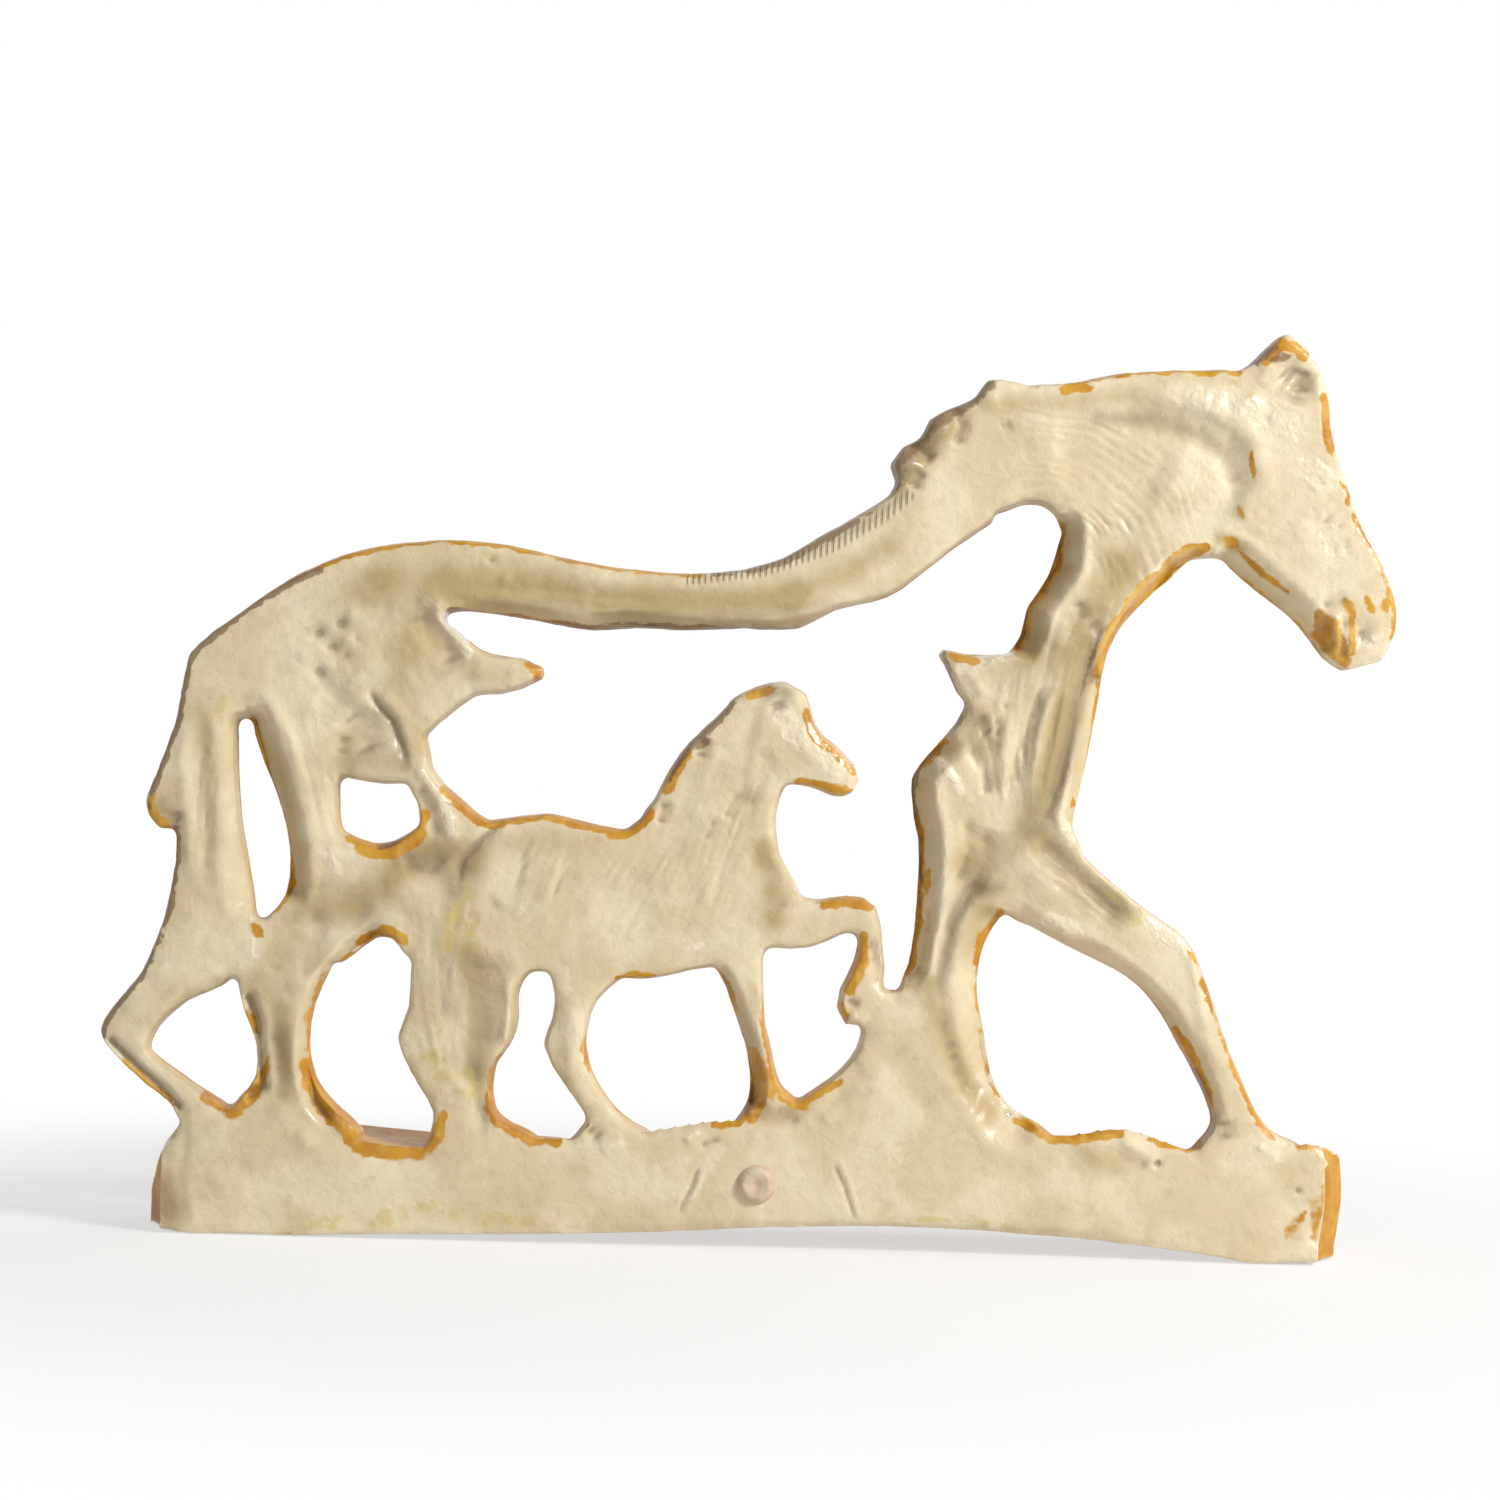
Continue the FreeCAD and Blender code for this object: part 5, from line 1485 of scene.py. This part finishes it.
    def sever(self, finish: Material) -> list[Thing]:
        """Saw the skin into the parts of the figure, each closed and named.

        Args:
            finish: The glaze.

        Returns:
            The parts.
        """
        blades = []
        for part in self.parts:
            for cut in part.cuts:
                corners = [spot(*corner) for corner in cut]
                blades += [self.blade(start, end) for start, end in zip(corners, corners[1:])]
        saw = blades[0]
        for blade in blades[1:]:
            apply_modifier(saw, "BOOLEAN", operation="UNION", solver="MANIFOLD", object=blade)
            bpy.data.objects.remove(blade)
        apply_modifier(self.skin, "BOOLEAN", operation="DIFFERENCE", solver="MANIFOLD", object=saw)
        bpy.data.objects.remove(saw)
        self.heal_cut_edges()
        pick(self.skin)
        bpy.ops.object.mode_set(mode="EDIT")
        bpy.ops.mesh.select_all(action="SELECT")
        bpy.ops.mesh.separate(type="LOOSE")
        bpy.ops.object.mode_set(mode="OBJECT")
        seeds = {name: spot(*seed) for part in self.parts for name, seed in part.seeds.items()}
        names = list(seeds)
        places = np.array(list(seeds.values()))
        groups: dict[str, list[Thing]] = {name: [] for name in names}
        for chip in list(bpy.context.selected_objects):
            if len(chip.data.vertices) < self.crumb:
                bpy.data.objects.remove(chip)
                continue
            at = read_points(chip.data)[:, [0, 2]].mean(axis=0)
            best = names[int(np.argmin(np.linalg.norm(places - at, axis=1)))]
            groups[best].append(chip)
            LOG.info("chip of %d vertices at %s goes to %s", len(chip.data.vertices), np.round(at), best)
        return [self.name_part(name, group, finish) for name, group in groups.items() if group]

    def heal_cut_edges(self) -> None:
        """Give vertices that the saw made the glaze and the shading of the skin beside them."""
        mesh = self.skin.data
        points = read_points(mesh)
        known = np.zeros(len(points) * 3, np.float32)
        mesh.attributes["skin_normal"].data.foreach_get("vector", known)
        known = known.reshape(-1, 3)
        new = np.flatnonzero(np.linalg.norm(known, axis=1) < 0.5)
        tree = kdtree.KDTree(len(self.points))
        for index, point in enumerate(self.points):
            tree.insert(point, index)
        tree.balance()
        source = np.array([tree.find(points[index])[1] for index in new], dtype=int)
        known[new] = self.normals[source]
        mesh.attributes["skin_normal"].data.foreach_set("vector", known.ravel())
        for tint, values in self.masks.items():
            layer = mesh.attributes[tint.value]
            held = np.zeros(len(points), np.float32)
            layer.data.foreach_get("value", held)
            held[new] = values[source]
            layer.data.foreach_set("value", held)
        LOG.info("saw made %d vertices of %d", len(new), len(points))

    def name_part(self, name: str, group: list[Thing], finish: Material) -> Thing:
        """Join the chips of one part, dress it and put it on the frame.

        Args:
            name: The node that it stands for.
            group: Its chips.
            finish: The glaze.

        Returns:
            The part.
        """
        pick(*group)
        if len(group) > 1:
            bpy.ops.object.join()
        piece = group[0]
        piece.name = "glazed_" + name
        piece.data.name = piece.name
        if name == SLAB:
            self.thin_front(piece)
        self.shade(piece.data)
        piece.data.materials.clear()
        piece.data.materials.append(finish)
        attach(piece, BODY)
        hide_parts(name)
        LOG.info("%s: %d faces", piece.name, len(piece.data.polygons))
        return piece

    def thin_front(self, piece: Thing) -> None:
        """Take faces out of the plain front and underside of the base, away from every cut."""
        points = read_points(piece.data)
        deep, up = points[:, 1], points[:, 2]
        front = ease(deep - WAIST, 3.0, 6.0) * ease(30.0 - up, 3.0, 8.0) * ease(up, 2.5, 4.5)
        under = ease(-read_normals(piece.data)[:, 2], 0.93, 0.99)
        under = under * ease(deep - REAR, 2.0, 4.0) * ease(FRONT - deep, 2.0, 4.0)
        plain = np.maximum(front, under)
        group = piece.vertex_groups.new(name="plain")
        for index in np.flatnonzero(plain > 0.05):
            group.add([int(index)], float(plain[index]), "REPLACE")
        apply_modifier(piece, "DECIMATE", ratio=self.thinned, vertex_group="plain")
        piece.vertex_groups.clear()

    def shade(self, mesh: Mesh) -> None:
        """Shade a part with the skin's own normals, so that no cut shows."""
        mesh.shade_smooth()
        normals = np.zeros(len(mesh.vertices) * 3, np.float32)
        mesh.attributes["skin_normal"].data.foreach_get("vector", normals)
        normals = normals.reshape(-1, 3)
        normals /= np.maximum(np.linalg.norm(normals, axis=1), 1e-6)[:, None]
        mesh.normals_split_custom_set_from_vertices(normals.tolist())
        mesh.attributes.remove(mesh.attributes["skin_normal"])


class Sockets:
    """Small helpers that wire nodes in one tree."""

    def __init__(self, tree: NodeTree) -> None:
        """Keep the tree."""
        self.tree = tree

    def add(self, kind: str, **settings: object) -> Node:
        """Add one node.

        Args:
            kind: The node's type.
            settings: Values of its properties.

        Returns:
            The node.
        """
        node = self.tree.nodes.new(kind)
        for name, value in settings.items():
            setattr(node, name, value)
        return node

    def join(self, source: Socket, target: Socket) -> None:
        """Link two sockets."""
        self.tree.links.new(source, target)

    def feed(self, value: object, target: Socket) -> None:
        """Link a socket, or set a number or colour, on a socket."""
        if isinstance(value, Socket):
            self.join(value, target)
        else:
            target.default_value = value

    def fill(self, node: Node, values: dict[str, object]) -> None:
        """Feed several named sockets of one node."""
        for name, value in values.items():
            self.feed(value, node.inputs[name])

    def noise(
        self, vector: Socket, scale: object, detail: float = 3.0, rough: float = 0.55, bent: float = 0.0
    ) -> Socket:
        """Add a noise texture and return its value."""
        node = self.add("ShaderNodeTexNoise")
        values = {"Vector": vector, "Scale": scale, "Detail": detail, "Roughness": rough, "Distortion": bent}
        self.fill(node, values)
        return node.outputs["Fac"]

    def math(self, operation: str, *values: object) -> Socket:
        """Add a Math node fed by sockets or numbers and return its value."""
        node = self.add("ShaderNodeMath", operation=operation)
        for index, value in enumerate(values):
            self.feed(value, node.inputs[index])
        return node.outputs[0]

    def ramp(self, value: object, low: float, high: float, start: float = 0.0, end: float = 1.0) -> Socket:
        """Map a value from low and high to start and end, eased."""
        node = self.add("ShaderNodeMapRange", interpolation_type="SMOOTHSTEP")
        self.fill(node, {"Value": value, "From Min": low, "From Max": high, "To Min": start, "To Max": end})
        return node.outputs["Result"]

    def blend(self, share: object, first: object, second: object) -> Socket:
        """Mix two colours and return the colour."""
        node = self.add("ShaderNodeMix", data_type="RGBA")
        for index, value in ((0, share), (6, first), (7, second)):
            self.feed(value, node.inputs[index])
        return node.outputs[2]

    def partly(self, mask: Socket, share: float, first: object, second: object) -> Socket:
        """Mix two colours by a share of a mask and return the colour."""
        return self.blend(self.math("MULTIPLY", mask, share), first, second)

    def attribute(self, tint: Tint) -> Socket:
        """Read the mask of one tint from the skin."""
        return self.add("ShaderNodeAttribute", attribute_name=tint.value).outputs["Fac"]

    def group(self, name: str, values: dict[str, object]) -> Node:
        """Place a node group and feed its inputs."""
        node = self.add("ShaderNodeGroup", node_tree=bpy.data.node_groups[name])
        self.fill(node, values)
        return node

    def bump(self, height: Socket, strength: float, distance: float) -> Socket:
        """Add a bump and return its normal."""
        node = self.add("ShaderNodeBump")
        self.fill(node, {"Strength": strength, "Distance": distance, "Height": height})
        return node.outputs["Normal"]

    def principled(self) -> Node:
        """Add a Principled shader as the material's surface."""
        shader = self.add("ShaderNodeBsdfPrincipled")
        self.join(shader.outputs[0], self.add("ShaderNodeOutputMaterial").inputs["Surface"])
        return shader

    def in_plain_sight(self) -> Socket:
        """Mask of the rays that show a surface: from the camera, from a mirror or through glass."""
        path = self.add("ShaderNodeLightPath")
        share = self.math("MAXIMUM", path.outputs["Is Camera Ray"], path.outputs["Is Transmission Ray"])
        return self.math("MAXIMUM", share, path.outputs["Is Glossy Ray"])

    def either(self, share: Socket, first: Socket, second: Socket) -> Socket:
        """Mix two shaders and return the shader."""
        mix = self.add("ShaderNodeMixShader")
        for index, value in enumerate((share, first, second)):
            self.join(value, mix.inputs[index])
        return mix.outputs[0]


def new_material(name: str) -> tuple[Material, Sockets]:
    """Make a material with an empty tree, and the helper that wires it."""
    made = bpy.data.materials.new(name)
    made.use_nodes = True
    made.node_tree.nodes.clear()
    return made, Sockets(made.node_tree)


def new_group(
    name: str, inputs: dict[str, tuple[str, object]], outputs: tuple[str, ...]
) -> tuple[Sockets, Node, Node]:
    """Make an empty shader group with named sockets.

    Args:
        name: Its name.
        inputs: Socket type and default for each input.
        outputs: Names of its outputs, each a value.

    Returns:
        The helper that wires the group, its input node and its output node.
    """
    tree = bpy.data.node_groups.new(name, "ShaderNodeTree")
    for label, (kind, default) in inputs.items():
        socket = tree.interface.new_socket(label, in_out="INPUT", socket_type=kind)
        if default is not None:
            socket.default_value = default
    for label in outputs:
        tree.interface.new_socket(label, in_out="OUTPUT", socket_type="NodeSocketFloat")
    return Sockets(tree), tree.nodes.new("NodeGroupInput"), tree.nodes.new("NodeGroupOutput")


def brushed_clay() -> None:
    """Group: the fine grain and brush drag of a dipped glaze, as a height and a speck mask."""
    kit, start, end = new_group(
        "brushed_clay",
        {
            "Vector": ("NodeSocketVector", None),
            "Grain": ("NodeSocketFloat", 900.0),
            "Drag": ("NodeSocketFloat", 260.0),
        },
        ("Height", "Speck"),
    )
    vector = start.outputs["Vector"]
    grain = kit.noise(vector, start.outputs["Grain"], 3.0, 0.5)
    drag = kit.noise(vector, start.outputs["Drag"], 4.0, 0.5, 0.6)
    kit.join(kit.math("MULTIPLY_ADD", grain, 0.18, kit.math("MULTIPLY", drag, 0.65)), end.inputs["Height"])
    kit.join(kit.ramp(grain, 0.62, 0.74), end.inputs["Speck"])


def broken_edge() -> None:
    """Group: a mask whose edge is broken into spots and runs, as glaze creeps back from an edge."""
    kit, start, end = new_group(
        "broken_edge",
        {
            "Vector": ("NodeSocketVector", None),
            "Mask": ("NodeSocketFloat", 0.0),
            "Scale": ("NodeSocketFloat", 420.0),
            "Ragged": ("NodeSocketFloat", 0.6),
        },
        ("Mask",),
    )
    noise = kit.noise(start.outputs["Vector"], start.outputs["Scale"], 3.0, 0.5)
    centred = kit.math("SUBTRACT", noise, 0.5)
    moved = kit.math("MULTIPLY_ADD", centred, start.outputs["Ragged"], start.outputs["Mask"])
    kit.join(kit.ramp(moved, 0.22, 0.70), end.inputs["Mask"])


@dataclass(frozen=True)
class Glaze:
    """The dipped cream glaze with ochre and dark brown where the brushed front glaze comes round, and with
    painted shade in hollows and on sides away from the key lamp, and painted sheen where it is glossy.
    """

    cream: Colour = (0.66, 0.545, 0.35, 1.0)
    pale: Colour = (0.76, 0.66, 0.46, 1.0)
    deep: Colour = (0.50, 0.40, 0.24, 1.0)
    # Painted shade in hollows and in the comb's grooves, and the clay's dark specks.
    hollow: Colour = (0.27, 0.21, 0.125, 1.0)
    # Thin glaze on slopes, and painted shade.
    tan: Colour = (0.44, 0.32, 0.145, 1.0)
    ochre: Colour = (0.47, 0.20, 0.008, 1.0)
    honey: Colour = (0.58, 0.30, 0.022, 1.0)
    amber: Colour = (0.74, 0.48, 0.11, 1.0)
    # Painted sheen on glossy places.
    painted_sheen: Colour = (0.82, 0.73, 0.53, 1.0)
    # Dark brown of the front glaze at rims, also painted shade on sides away from the key lamp and in the
    # ochre's hollows.
    burnt_and_shaded: Colour = (0.20, 0.115, 0.055, 1.0)
    stain: Colour = (0.60, 0.44, 0.12, 1.0)
    grain: float = 1500.0
    drag: float = 420.0
    cloud_scale: float = 55.0
    mottle_scale: float = 240.0
    honey_scale: float = 120.0
    amber_scale: float = 230.0
    comb_scale: float = 240.0
    ripple_scale: float = 330.0
    ripple: float = 2.6
    comb_cut: float = -0.7
    specular: float = 0.34
    coat_roughness: float = 0.13
    bump: Pair = (0.6, 0.0006)
    creeps: tuple[tuple[Tint, float, float], ...] = (
        (Tint.OCHRE, 480.0, 1.25), (Tint.BROWN, 700.0, 1.3), (Tint.STAIN, 420.0, 1.6),
    )

    def dipped(self, kit: Sockets, vector: Socket, gloss: Socket, mottle: Socket, recess: Socket) -> Socket:
        """Colour of the cream glaze, thin and tan on slopes, with painted shade in tan and in hollows and
        painted sheen where it is glossy.
        """
        cloud = kit.noise(vector, self.cloud_scale, 4.0)
        colour = kit.blend(kit.ramp(cloud, 0.42, 0.62), self.cream, self.pale)
        colour = kit.blend(kit.ramp(mottle, 0.5, 0.75, 0.0, 0.32), colour, self.deep)
        # Painted sheen: glossy places are painted lighter.
        colour = kit.blend(kit.ramp(gloss, 0.5, 0.95, 0.0, 0.6), colour, self.painted_sheen)
        # Thin tan glaze, and painted shade.
        colour = kit.partly(kit.attribute(Tint.TAN), 0.92, colour, self.tan)
        # Painted shade in hollows.
        return kit.partly(recess, 0.7, colour, self.hollow)

    def brushed(self, kit: Sockets, vector: Socket, recess: Socket) -> Socket:
        """Colour of the ochre glaze, honey and amber where it pools, with painted highlight in amber on
        crests and painted shade in dark brown in hollows.
        """
        honeyed = kit.ramp(kit.noise(vector, self.honey_scale), 0.38, 0.66)
        colour = kit.blend(honeyed, self.ochre, self.honey)
        flecks = kit.ramp(kit.noise(vector, self.amber_scale), 0.48, 0.72, 0.0, 0.4)
        colour = kit.blend(flecks, colour, self.amber)
        # Painted shade in the ochre's hollows.
        colour = kit.partly(recess, 0.5, colour, self.burnt_and_shaded)
        # Painted highlight on the ochre's crests.
        return kit.partly(kit.attribute(Tint.CREST), 0.5, colour, self.amber)

    def combed(self, kit: Sockets, vector: Socket) -> Socket:
        """Mask of the tool's ribs along the withers, whose grooves are painted darker as shade."""
        teeth = kit.add("ShaderNodeTexWave", bands_direction="X")
        kit.fill(teeth, {"Vector": vector, "Scale": self.comb_scale, "Distortion": 0.8})
        return kit.math("MULTIPLY", kit.ramp(teeth.outputs["Fac"], 0.3, 0.85), kit.attribute(Tint.COMB))

    def material(self) -> Material:
        """Build the glaze.

        Returns:
            The material.
        """
        made, kit = new_material("cream_and_ochre_glaze")
        shader = kit.principled()
        vector = kit.add("ShaderNodeTexCoord").outputs["Object"]
        clay = kit.group("brushed_clay", {"Vector": vector, "Grain": self.grain, "Drag": self.drag})
        creeping = {}
        for tint, scale, ragged in self.creeps:
            values = {"Vector": vector, "Mask": kit.attribute(tint), "Scale": scale, "Ragged": ragged}
            creeping[tint] = kit.group("broken_edge", values).outputs["Mask"]
        gloss, recess = kit.attribute(Tint.GLOSS), kit.attribute(Tint.RECESS)
        mottle = kit.noise(vector, self.mottle_scale, 4.0)
        comb = self.combed(kit, vector)
        colour = self.dipped(kit, vector, gloss, mottle, recess)
        colour = kit.partly(clay.outputs["Speck"], 0.09, colour, self.hollow)
        colour = kit.partly(creeping[Tint.STAIN], 0.5, colour, self.stain)
        colour = kit.blend(creeping[Tint.OCHRE], colour, self.brushed(kit, vector, recess))
        # Dark brown glaze at rims, with painted shade on sides away from the key lamp.
        colour = kit.partly(creeping[Tint.BROWN], 0.8, colour, self.burnt_and_shaded)
        # Painted shade in the grooves between the comb's ribs.
        colour = kit.partly(comb, 0.62, colour, self.hollow)
        dull = kit.math("ADD", gloss, kit.math("MULTIPLY", mottle, 0.3))
        ripple = kit.math("SUBTRACT", kit.noise(vector, self.ripple_scale, 2.0), 0.5)
        wet = kit.math("MULTIPLY", kit.ramp(gloss, 0.72, 1.0), ripple)
        height = kit.math("MULTIPLY_ADD", wet, self.ripple, clay.outputs["Height"])
        height = kit.math("MULTIPLY_ADD", comb, self.comb_cut, height)
        kit.join(colour, shader.inputs["Base Color"])
        kit.join(kit.ramp(dull, 0.2, 1.1, 0.6, 0.3), shader.inputs["Roughness"])
        kit.join(kit.ramp(gloss, 0.3, 1.0, 0.06, 0.9), shader.inputs["Coat Weight"])
        kit.join(kit.bump(height, *self.bump), shader.inputs["Normal"])
        shader.inputs["Specular IOR Level"].default_value = self.specular
        shader.inputs["Coat Roughness"].default_value = self.coat_roughness
        return made


@dataclass(frozen=True)
class BareClay:
    """Unglazed tan clay of the filling stub, with the hairs of a brush drawn over it."""

    tan: Colour = (0.62, 0.52, 0.37, 1.0)
    pink: Colour = (0.62, 0.42, 0.33, 1.0)
    shade: Colour = (0.34, 0.24, 0.15, 1.0)
    grain: float = 1900.0
    drag: float = 700.0
    blush_scale: float = 320.0
    bump: Pair = (0.6, 0.0004)

    def material(self) -> Material:
        """Build the bare clay.

        Returns:
            The material.
        """
        made, kit = new_material("bare_clay_stub")
        shader = kit.principled()
        vector = kit.add("ShaderNodeTexCoord").outputs["Object"]
        clay = kit.group("brushed_clay", {"Vector": vector, "Grain": self.grain, "Drag": self.drag})
        blush = kit.ramp(kit.noise(vector, self.blush_scale), 0.4, 0.62)
        colour = kit.blend(blush, self.tan, self.pink)
        colour = kit.partly(clay.outputs["Speck"], 0.5, colour, self.shade)
        kit.join(colour, shader.inputs["Base Color"])
        kit.join(kit.ramp(clay.outputs["Height"], 0.3, 0.8, 0.55, 0.8), shader.inputs["Roughness"])
        kit.join(kit.bump(clay.outputs["Height"], *self.bump), shader.inputs["Normal"])
        return made


@dataclass
class FillingStub:
    """The broken stub of the filling channel on the rear of the base. Sizes are in millimetres."""

    sides: int = 40
    root_radius: float = 4.2
    crest_radius: float = 2.6
    root_depth: float = 1.2
    sunk: float = 0.2
    dome: float = 1.35
    rings: int = 6
    insets: int = 3
    inset: float = 0.7
    dimple: float = 0.12
    rough: Swell = Swell(0.16, 1.6, 5)
    sway: Swell = Swell(0.2, 2.2, 8)

    def outline(self, share: float) -> Pair:
        """Radius of the stub and its height over the root, at a share of the way to its crest."""
        radius = self.root_radius + (self.crest_radius - self.root_radius) * share
        return radius, self.dome * math.sin(math.pi / 2 * share)

    def build(self, finish: Material) -> Thing:
        """Make the stub.

        Args:
            finish: The bare clay.

        Returns:
            The stub.
        """
        low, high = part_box(NUB)
        centre = (low + high) / 2
        deselect()
        bpy.ops.mesh.primitive_cylinder_add(
            vertices=self.sides,
            radius=self.root_radius * MM,
            depth=self.root_depth * MM,
            end_fill_type="NGON",
        )
        stub = bpy.context.active_object
        place = Vector((centre.x, (REAR + self.sunk) * MM, centre.z))
        place_in_mesh(stub, Matrix.Translation(place) @ Matrix.Rotation(math.pi / 2, 4, "X"))
        bpy.ops.object.mode_set(mode="EDIT")
        bpy.ops.mesh.select_all(action="DESELECT")
        bpy.ops.object.mode_set(mode="OBJECT")
        for face in stub.data.polygons:
            face.select = face.normal.y < -0.9
        bpy.ops.object.mode_set(mode="EDIT")
        for ring in range(self.rings):
            last, foot = self.outline(ring / self.rings)
            radius, top = self.outline((ring + 1) / self.rings)
            bpy.ops.mesh.extrude_region_move(TRANSFORM_OT_translate={"value": (0.0, (foot - top) * MM, 0.0)})
            size = (radius / last, 1.0, radius / last)
            bpy.ops.transform.resize(value=size, center_override=(centre.x, 0.0, centre.z))
        for inset in range(self.insets):
            bpy.ops.mesh.inset(thickness=self.inset * MM, depth=-self.dimple * MM * (inset + 1))
        bpy.ops.mesh.poke()
        bpy.ops.mesh.select_all(action="SELECT")
        bpy.ops.mesh.normals_make_consistent(inside=False)
        bpy.ops.object.mode_set(mode="OBJECT")
        apply_modifier(stub, "SUBSURF", levels=2, render_levels=2)
        mesh = stub.data
        points = read_points(mesh)
        points[:, 1] += self.rough.at(points)
        points[:, 0] += self.sway.at(points)
        points[:, 1] = np.clip(points[:, 1], REARMOST, None)
        write_points(mesh, points)
        mesh.shade_smooth()
        stub.name = "clay_casting_nub"
        mesh.name = stub.name
        mesh.materials.clear()
        mesh.materials.append(finish)
        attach(stub, BODY)
        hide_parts(NUB)
        LOG.info("%s: %d faces", stub.name, len(mesh.polygons))
        return stub


@dataclass(frozen=True)
class Lamp:
    """One square soft lamp: where it hangs and its side in metres, its power in watts, its colour."""

    name: str
    place: tuple[float, float, float]
    size: float
    power: float
    colour: tuple[float, float, float]

    def hang(self, aim: Vector) -> None:
        """Hang the lamp with its face to the aim."""
        data = bpy.data.lights.new(self.name, "AREA")
        data.shape = "SQUARE"
        data.size = self.size
        data.energy = self.power
        data.color = self.colour
        lamp = bpy.data.objects.new(self.name, data)
        bpy.context.scene.collection.objects.link(lamp)
        lamp.location = self.place
        lamp.rotation_mode = "QUATERNION"
        lamp.rotation_quaternion = (aim - Vector(self.place)).to_track_quat("-Z", "Y")


@dataclass
class Studio:
    """The pale floor, the soft lamps, the white surround and the camera, in metres."""

    sight: Sight = SIGHT
    sensor: float = 36.0
    lamps: tuple[Lamp, ...] = (
        Lamp("key", (0.95, -0.78, 0.80), 0.35, 17.6, (1.0, 0.97, 0.93)),
        Lamp("rim", (0.60, 0.55, 0.60), 0.50, 2.4, (1.0, 0.97, 0.93)),
        Lamp("fill", (-0.20, -1.20, 0.35), 0.9, 1.6, (0.95, 0.97, 1.0)),
    )
    aim_height: float = 0.09
    white: Colour = (1.0, 1.0, 1.0, 1.0)
    world_light: float = 0.22
    floor_radius: float = 6.0
    floor_drop: float = 0.0002
    floor_colour: Colour = (0.93, 0.93, 0.92, 1.0)
    floor_roughness: float = 0.9
    shadow_band: Pair = (0.15, 0.34)
    nearest_white: float = 0.62

    def build(self) -> None:
        """Set the whole studio."""
        self.set_camera()
        for lamp in self.lamps:
            lamp.hang(Vector((0.0, 0.0, self.aim_height)))
        self.set_surround()
        self.lay_floor()

    def set_camera(self) -> None:
        """Stand the camera square to the rear face, rolled as the photograph is."""
        sight = self.sight
        data = bpy.data.cameras.new("camera")
        data.sensor_width = self.sensor
        data.lens = self.sensor / 2 / math.tan(math.radians(sight.view_angle / 2))
        camera = bpy.data.objects.new("camera", data)
        bpy.context.scene.collection.objects.link(camera)
        turn = math.radians(sight.roll)
        right = Vector((math.cos(turn), 0.0, math.sin(turn)))
        up = Vector((-math.sin(turn), 0.0, math.cos(turn)))
        back = Vector((0.0, -1.0, 0.0))
        rotation = Matrix((right, up, back)).transposed().to_4x4()
        place = [side * MM for side in (sight.aim_x, WAIST - sight.distance, sight.aim_z)]
        camera.matrix_world = Matrix.Translation(Vector(place)) @ rotation
        bpy.context.scene.camera = camera

    def set_surround(self) -> None:
        """Set an even world that is white to the camera."""
        world = bpy.data.worlds.new("surround")
        bpy.context.scene.world = world
        world.use_nodes = True
        world.node_tree.nodes.clear()
        kit = Sockets(world.node_tree)
        lights = []
        for strength in (self.world_light, 1.0):
            light = kit.add("ShaderNodeBackground")
            kit.fill(light, {"Strength": strength, "Color": self.white})
            lights.append(light.outputs[0])
        out = kit.add("ShaderNodeOutputWorld")
        kit.join(kit.either(kit.in_plain_sight(), *lights), out.inputs["Surface"])

    def lay_floor(self) -> None:
        """Lay a round pale floor that keeps the shadow near the casting and fades to white."""
        deselect()
        bpy.ops.mesh.primitive_circle_add(
            vertices=96, radius=self.floor_radius, fill_type="NGON", location=(0.0, 0.0, -self.floor_drop)
        )
        floor = bpy.context.active_object
        bpy.ops.object.transform_apply(location=True, rotation=True, scale=True)
        floor.name = "studio_floor"
        made, kit = new_material("pale_floor")
        matt = kit.add("ShaderNodeBsdfPrincipled")
        matt.inputs["Base Color"].default_value = self.floor_colour
        matt.inputs["Roughness"].default_value = self.floor_roughness
        matt.inputs["Specular IOR Level"].default_value = 0.0
        white = kit.add("ShaderNodeEmission")
        white.inputs["Strength"].default_value = 1.0
        away = kit.add("ShaderNodeVectorMath", operation="LENGTH")
        kit.join(kit.add("ShaderNodeTexCoord").outputs["Object"], away.inputs[0])
        far = kit.ramp(away.outputs["Value"], *self.shadow_band, self.nearest_white, 1.0)
        share = kit.math("MULTIPLY", far, kit.in_plain_sight())
        out = kit.add("ShaderNodeOutputMaterial")
        kit.join(kit.either(share, matt.outputs[0], white.outputs[0]), out.inputs["Surface"])
        floor.data.materials.append(made)


def main() -> None:
    """Build the studio, the casting and its stub."""
    logging.basicConfig(level=logging.INFO, format="%(message)s")
    bpy.context.scene.view_settings.view_transform = "Standard"
    deselect()
    brushed_clay()
    broken_edge()
    Studio().build()
    Casting().build(Glaze().material())
    FillingStub().build(BareClay().material())


if __name__ == "__main__":
    main()
